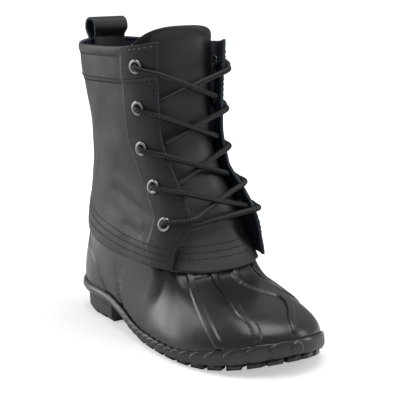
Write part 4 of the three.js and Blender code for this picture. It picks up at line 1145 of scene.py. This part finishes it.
def back_turn(height, x):
    up = height / COLLAR_HEIGHT
    half = np.where(x < 0, section["outer"](up), section["inner"](up)) * BALL_WIDTH
    half = half * (1 - section["flare"](up))
    return -np.sign(x) * np.arcsin((np.abs(x) / half) ** (section["round"](up) / 2)) / (2 * np.pi)


outer_leg, inner_leg = CUFF_STEP + GAP + LOOP_THICK / 2, -LEATHER_WALL - GAP - LOOP_THICK / 2
leg_middle, bow = (outer_leg + inner_leg) / 2, LOOP_DEPTH / 2
loop_route, _ = smooth_path(np.array([
    (outer_leg, -LOOP_TAIL, 0), (outer_leg, -LOOP_TAIL / 2, 0), (outer_leg, -LOOP_THICK, 0),
    (outer_leg, 0, 0),
    (leg_middle + bow, LOOP_HEIGHT * .45, 0), (leg_middle + bow * .8, LOOP_HEIGHT * .85, 0),
    (leg_middle, LOOP_HEIGHT, 0), (leg_middle - bow * .8, LOOP_HEIGHT * .85, 0),
    (leg_middle - bow, LOOP_HEIGHT * .45, 0), (inner_leg, 0, 0), (inner_leg, -LOOP_THICK, 0),
    (inner_leg, -LOOP_TAIL / 2, 0), (inner_leg, -LOOP_TAIL, 0)]), .6)


def loop_place(u, v):
    at = v * (len(loop_route) - 1)
    out, up = (np.interp(at, np.arange(len(loop_route)), loop_route[:, k]) for k in (0, 1))
    x = (.5 - u) * LOOP_WIDTH
    height = collar_high(0) + up
    bent = inside(shaft_point, height, back_turn(height, x), -out)
    flat = inside(shaft_point, height, back_turn(height, LOOP_WIDTH / 4 * np.ones_like(x)), -out)
    flat[:, 0] = x
    t = smooth_step(up, 0, LOOP_HEIGHT * .4)[:, None]
    return bent + (flat - bent) * t


bm = skin(np.linspace(0, 1, 37), np.linspace(0, 1, 100), loop_place)
loop_piece = link("pull_loop_strip", finish_mesh(bm, "loop"),
                  [shaft_material, lining_material, edge_material])
give_wall(loop_piece, LOOP_THICK, offset=0)
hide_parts("pull_loop")

# Eyelets
# Ten dull steel eyelets, each a rolled tube with a bevelled face outside and a small roll inside.
EYELET_LIP, EYELET_TUBE = .9, .5
EYELET_SEAT = .45
eyelet_material = plain_material("eyelet steel", (.45, .45, .44), .28, metallic=1.0)
for side, label in ((1, "outer"), (-1, "inner")):
    for row, height in enumerate(eyelet_heights[side]):
        turn = float(turn_behind(height, side, eyelet_inset(height)))
        centre = shaft_point(height, turn)
        normal = Vector(level_normal(shaft_point, height, turn))
        hole, outer = EYELET_HOLE / 2, EYELET_OUTER / 2
        face, back = eyelet_face[row] + EYELET_SEAT, -LEATHER_WALL - 3 * GAP
        tube = hole + EYELET_TUBE
        profile = [(hole, back - EYELET_LIP / 2), (hole + 1.2, back - EYELET_LIP / 2),
                   (tube + EYELET_LIP, back), (tube, back), (tube, face), (outer, face),
                   (outer - .12, face + .35), (outer - .6, face + .75), (outer - 1.1, face + EYELET_LIP),
                   (hole + .5, face + .72), (hole + .08, face + .3), (hole, face - .3)]
        bm = bmesh.new()
        ring = [bm.verts.new((x * MM, 0, y * MM)) for x, y in profile]
        line = [bm.edges.new((a, b)) for a, b in zip(ring, ring[1:] + ring[:1])]
        bmesh.ops.spin(bm, geom=ring + line, cent=(0, 0, 0), axis=(0, 0, 1), angle=2 * math.pi, steps=40,
                       use_merge=True, use_duplicate=False)
        bmesh.ops.remove_doubles(bm, verts=bm.verts, dist=1e-6)
        bmesh.ops.recalc_face_normals(bm, faces=bm.faces)
        turn_to = normal.to_track_quat("Z", "Y").to_matrix().to_4x4()
        seat = Matrix.Translation(Vector((centre + BOX_SHIFT) * MM))
        bmesh.ops.transform(bm, verts=bm.verts, matrix=seat @ turn_to)
        piece = link("eyelet_ring_%s_%d" % (label, row + 1), finish_mesh(bm, "eyelet"), [eyelet_material])
        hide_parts("eyelet_%s_%d" % (label, row + 1))

# Studio
# A plain pale floor and soft light from large panels, as in a product photo.
bm = bmesh.new()
bmesh.ops.create_grid(bm, x_segments=1, y_segments=1, size=6)
floor_mesh = finish_mesh(bm, "floor")
floor = bpy.data.objects.new("floor", floor_mesh)
bpy.context.collection.objects.link(floor)
floor_material = plain_material("floor", (.8, .8, .8), 1.0)
floor_mesh.materials.append(floor_material)

world = bpy.data.worlds.new("studio")
bpy.context.scene.world = world
world.use_nodes = True


def seen_by_camera(tree, socket, shown, otherwise):
    """A value that is one number where the camera sees it and another where it lights the boot."""
    rays = tree.nodes.new("ShaderNodeLightPath")
    pick = tree.nodes.new("ShaderNodeMapRange")
    pick.inputs["To Min"].default_value = otherwise
    if isinstance(shown, (int, float)):
        pick.inputs["To Max"].default_value = shown
    else:
        tree.links.new(shown, pick.inputs["To Max"])
    tree.links.new(rays.outputs["Is Camera Ray"], pick.inputs["Value"])
    tree.links.new(pick.outputs["Result"], socket)


seen_by_camera(world.node_tree, world.node_tree.nodes["Background"].inputs["Strength"], 1.0, .28)
world.node_tree.nodes["Background"].inputs["Color"].default_value = (1, 1, 1, 1)
floor_shader = floor_material.node_tree.nodes["Principled BSDF"]
floor_shader.inputs["Emission Color"].default_value = (1, 1, 1, 1)
# painted light: the floor glows for the camera alone, more strongly away from the boot, where the panels no
# longer reach it
floor_nodes, floor_links = floor_material.node_tree.nodes, floor_material.node_tree.links
place = floor_nodes.new("ShaderNodeTexCoord")
reach = floor_nodes.new("ShaderNodeVectorMath")
reach.operation = "LENGTH"
floor_links.new(place.outputs["Object"], reach.inputs[0])
painted_floor_glow = floor_nodes.new("ShaderNodeMapRange")
for socket, value in (("From Min", .12), ("From Max", .6), ("To Min", .48), ("To Max", .9)):
    painted_floor_glow.inputs[socket].default_value = value
floor_links.new(reach.outputs["Value"], painted_floor_glow.inputs["Value"])
seen_by_camera(floor_material.node_tree, floor_shader.inputs["Emission Strength"], painted_floor_glow.outputs["Result"], 0)
bpy.context.scene.view_settings.view_transform = "Standard"


def panel(name, place, size, power):
    light = bpy.data.lights.new(name, "AREA")
    light.shape = "RECTANGLE"
    light.size, light.size_y = size
    light.energy = power
    lamp = bpy.data.objects.new(name, light)
    lamp.location = place
    lamp.rotation_euler = (Vector(place) - Vector((0, 0, .08))).to_track_quat("Z", "Y").to_euler()
    bpy.context.collection.objects.link(lamp)


panel("back panel", (-.6, 1.0, .5), (.6, 1.2), 7)
panel("top panel", (.1, -.1, 1.2), (.9, .8), 7)
panel("right panel", (.9, -.6, .6), (.3, .8), 2.5)
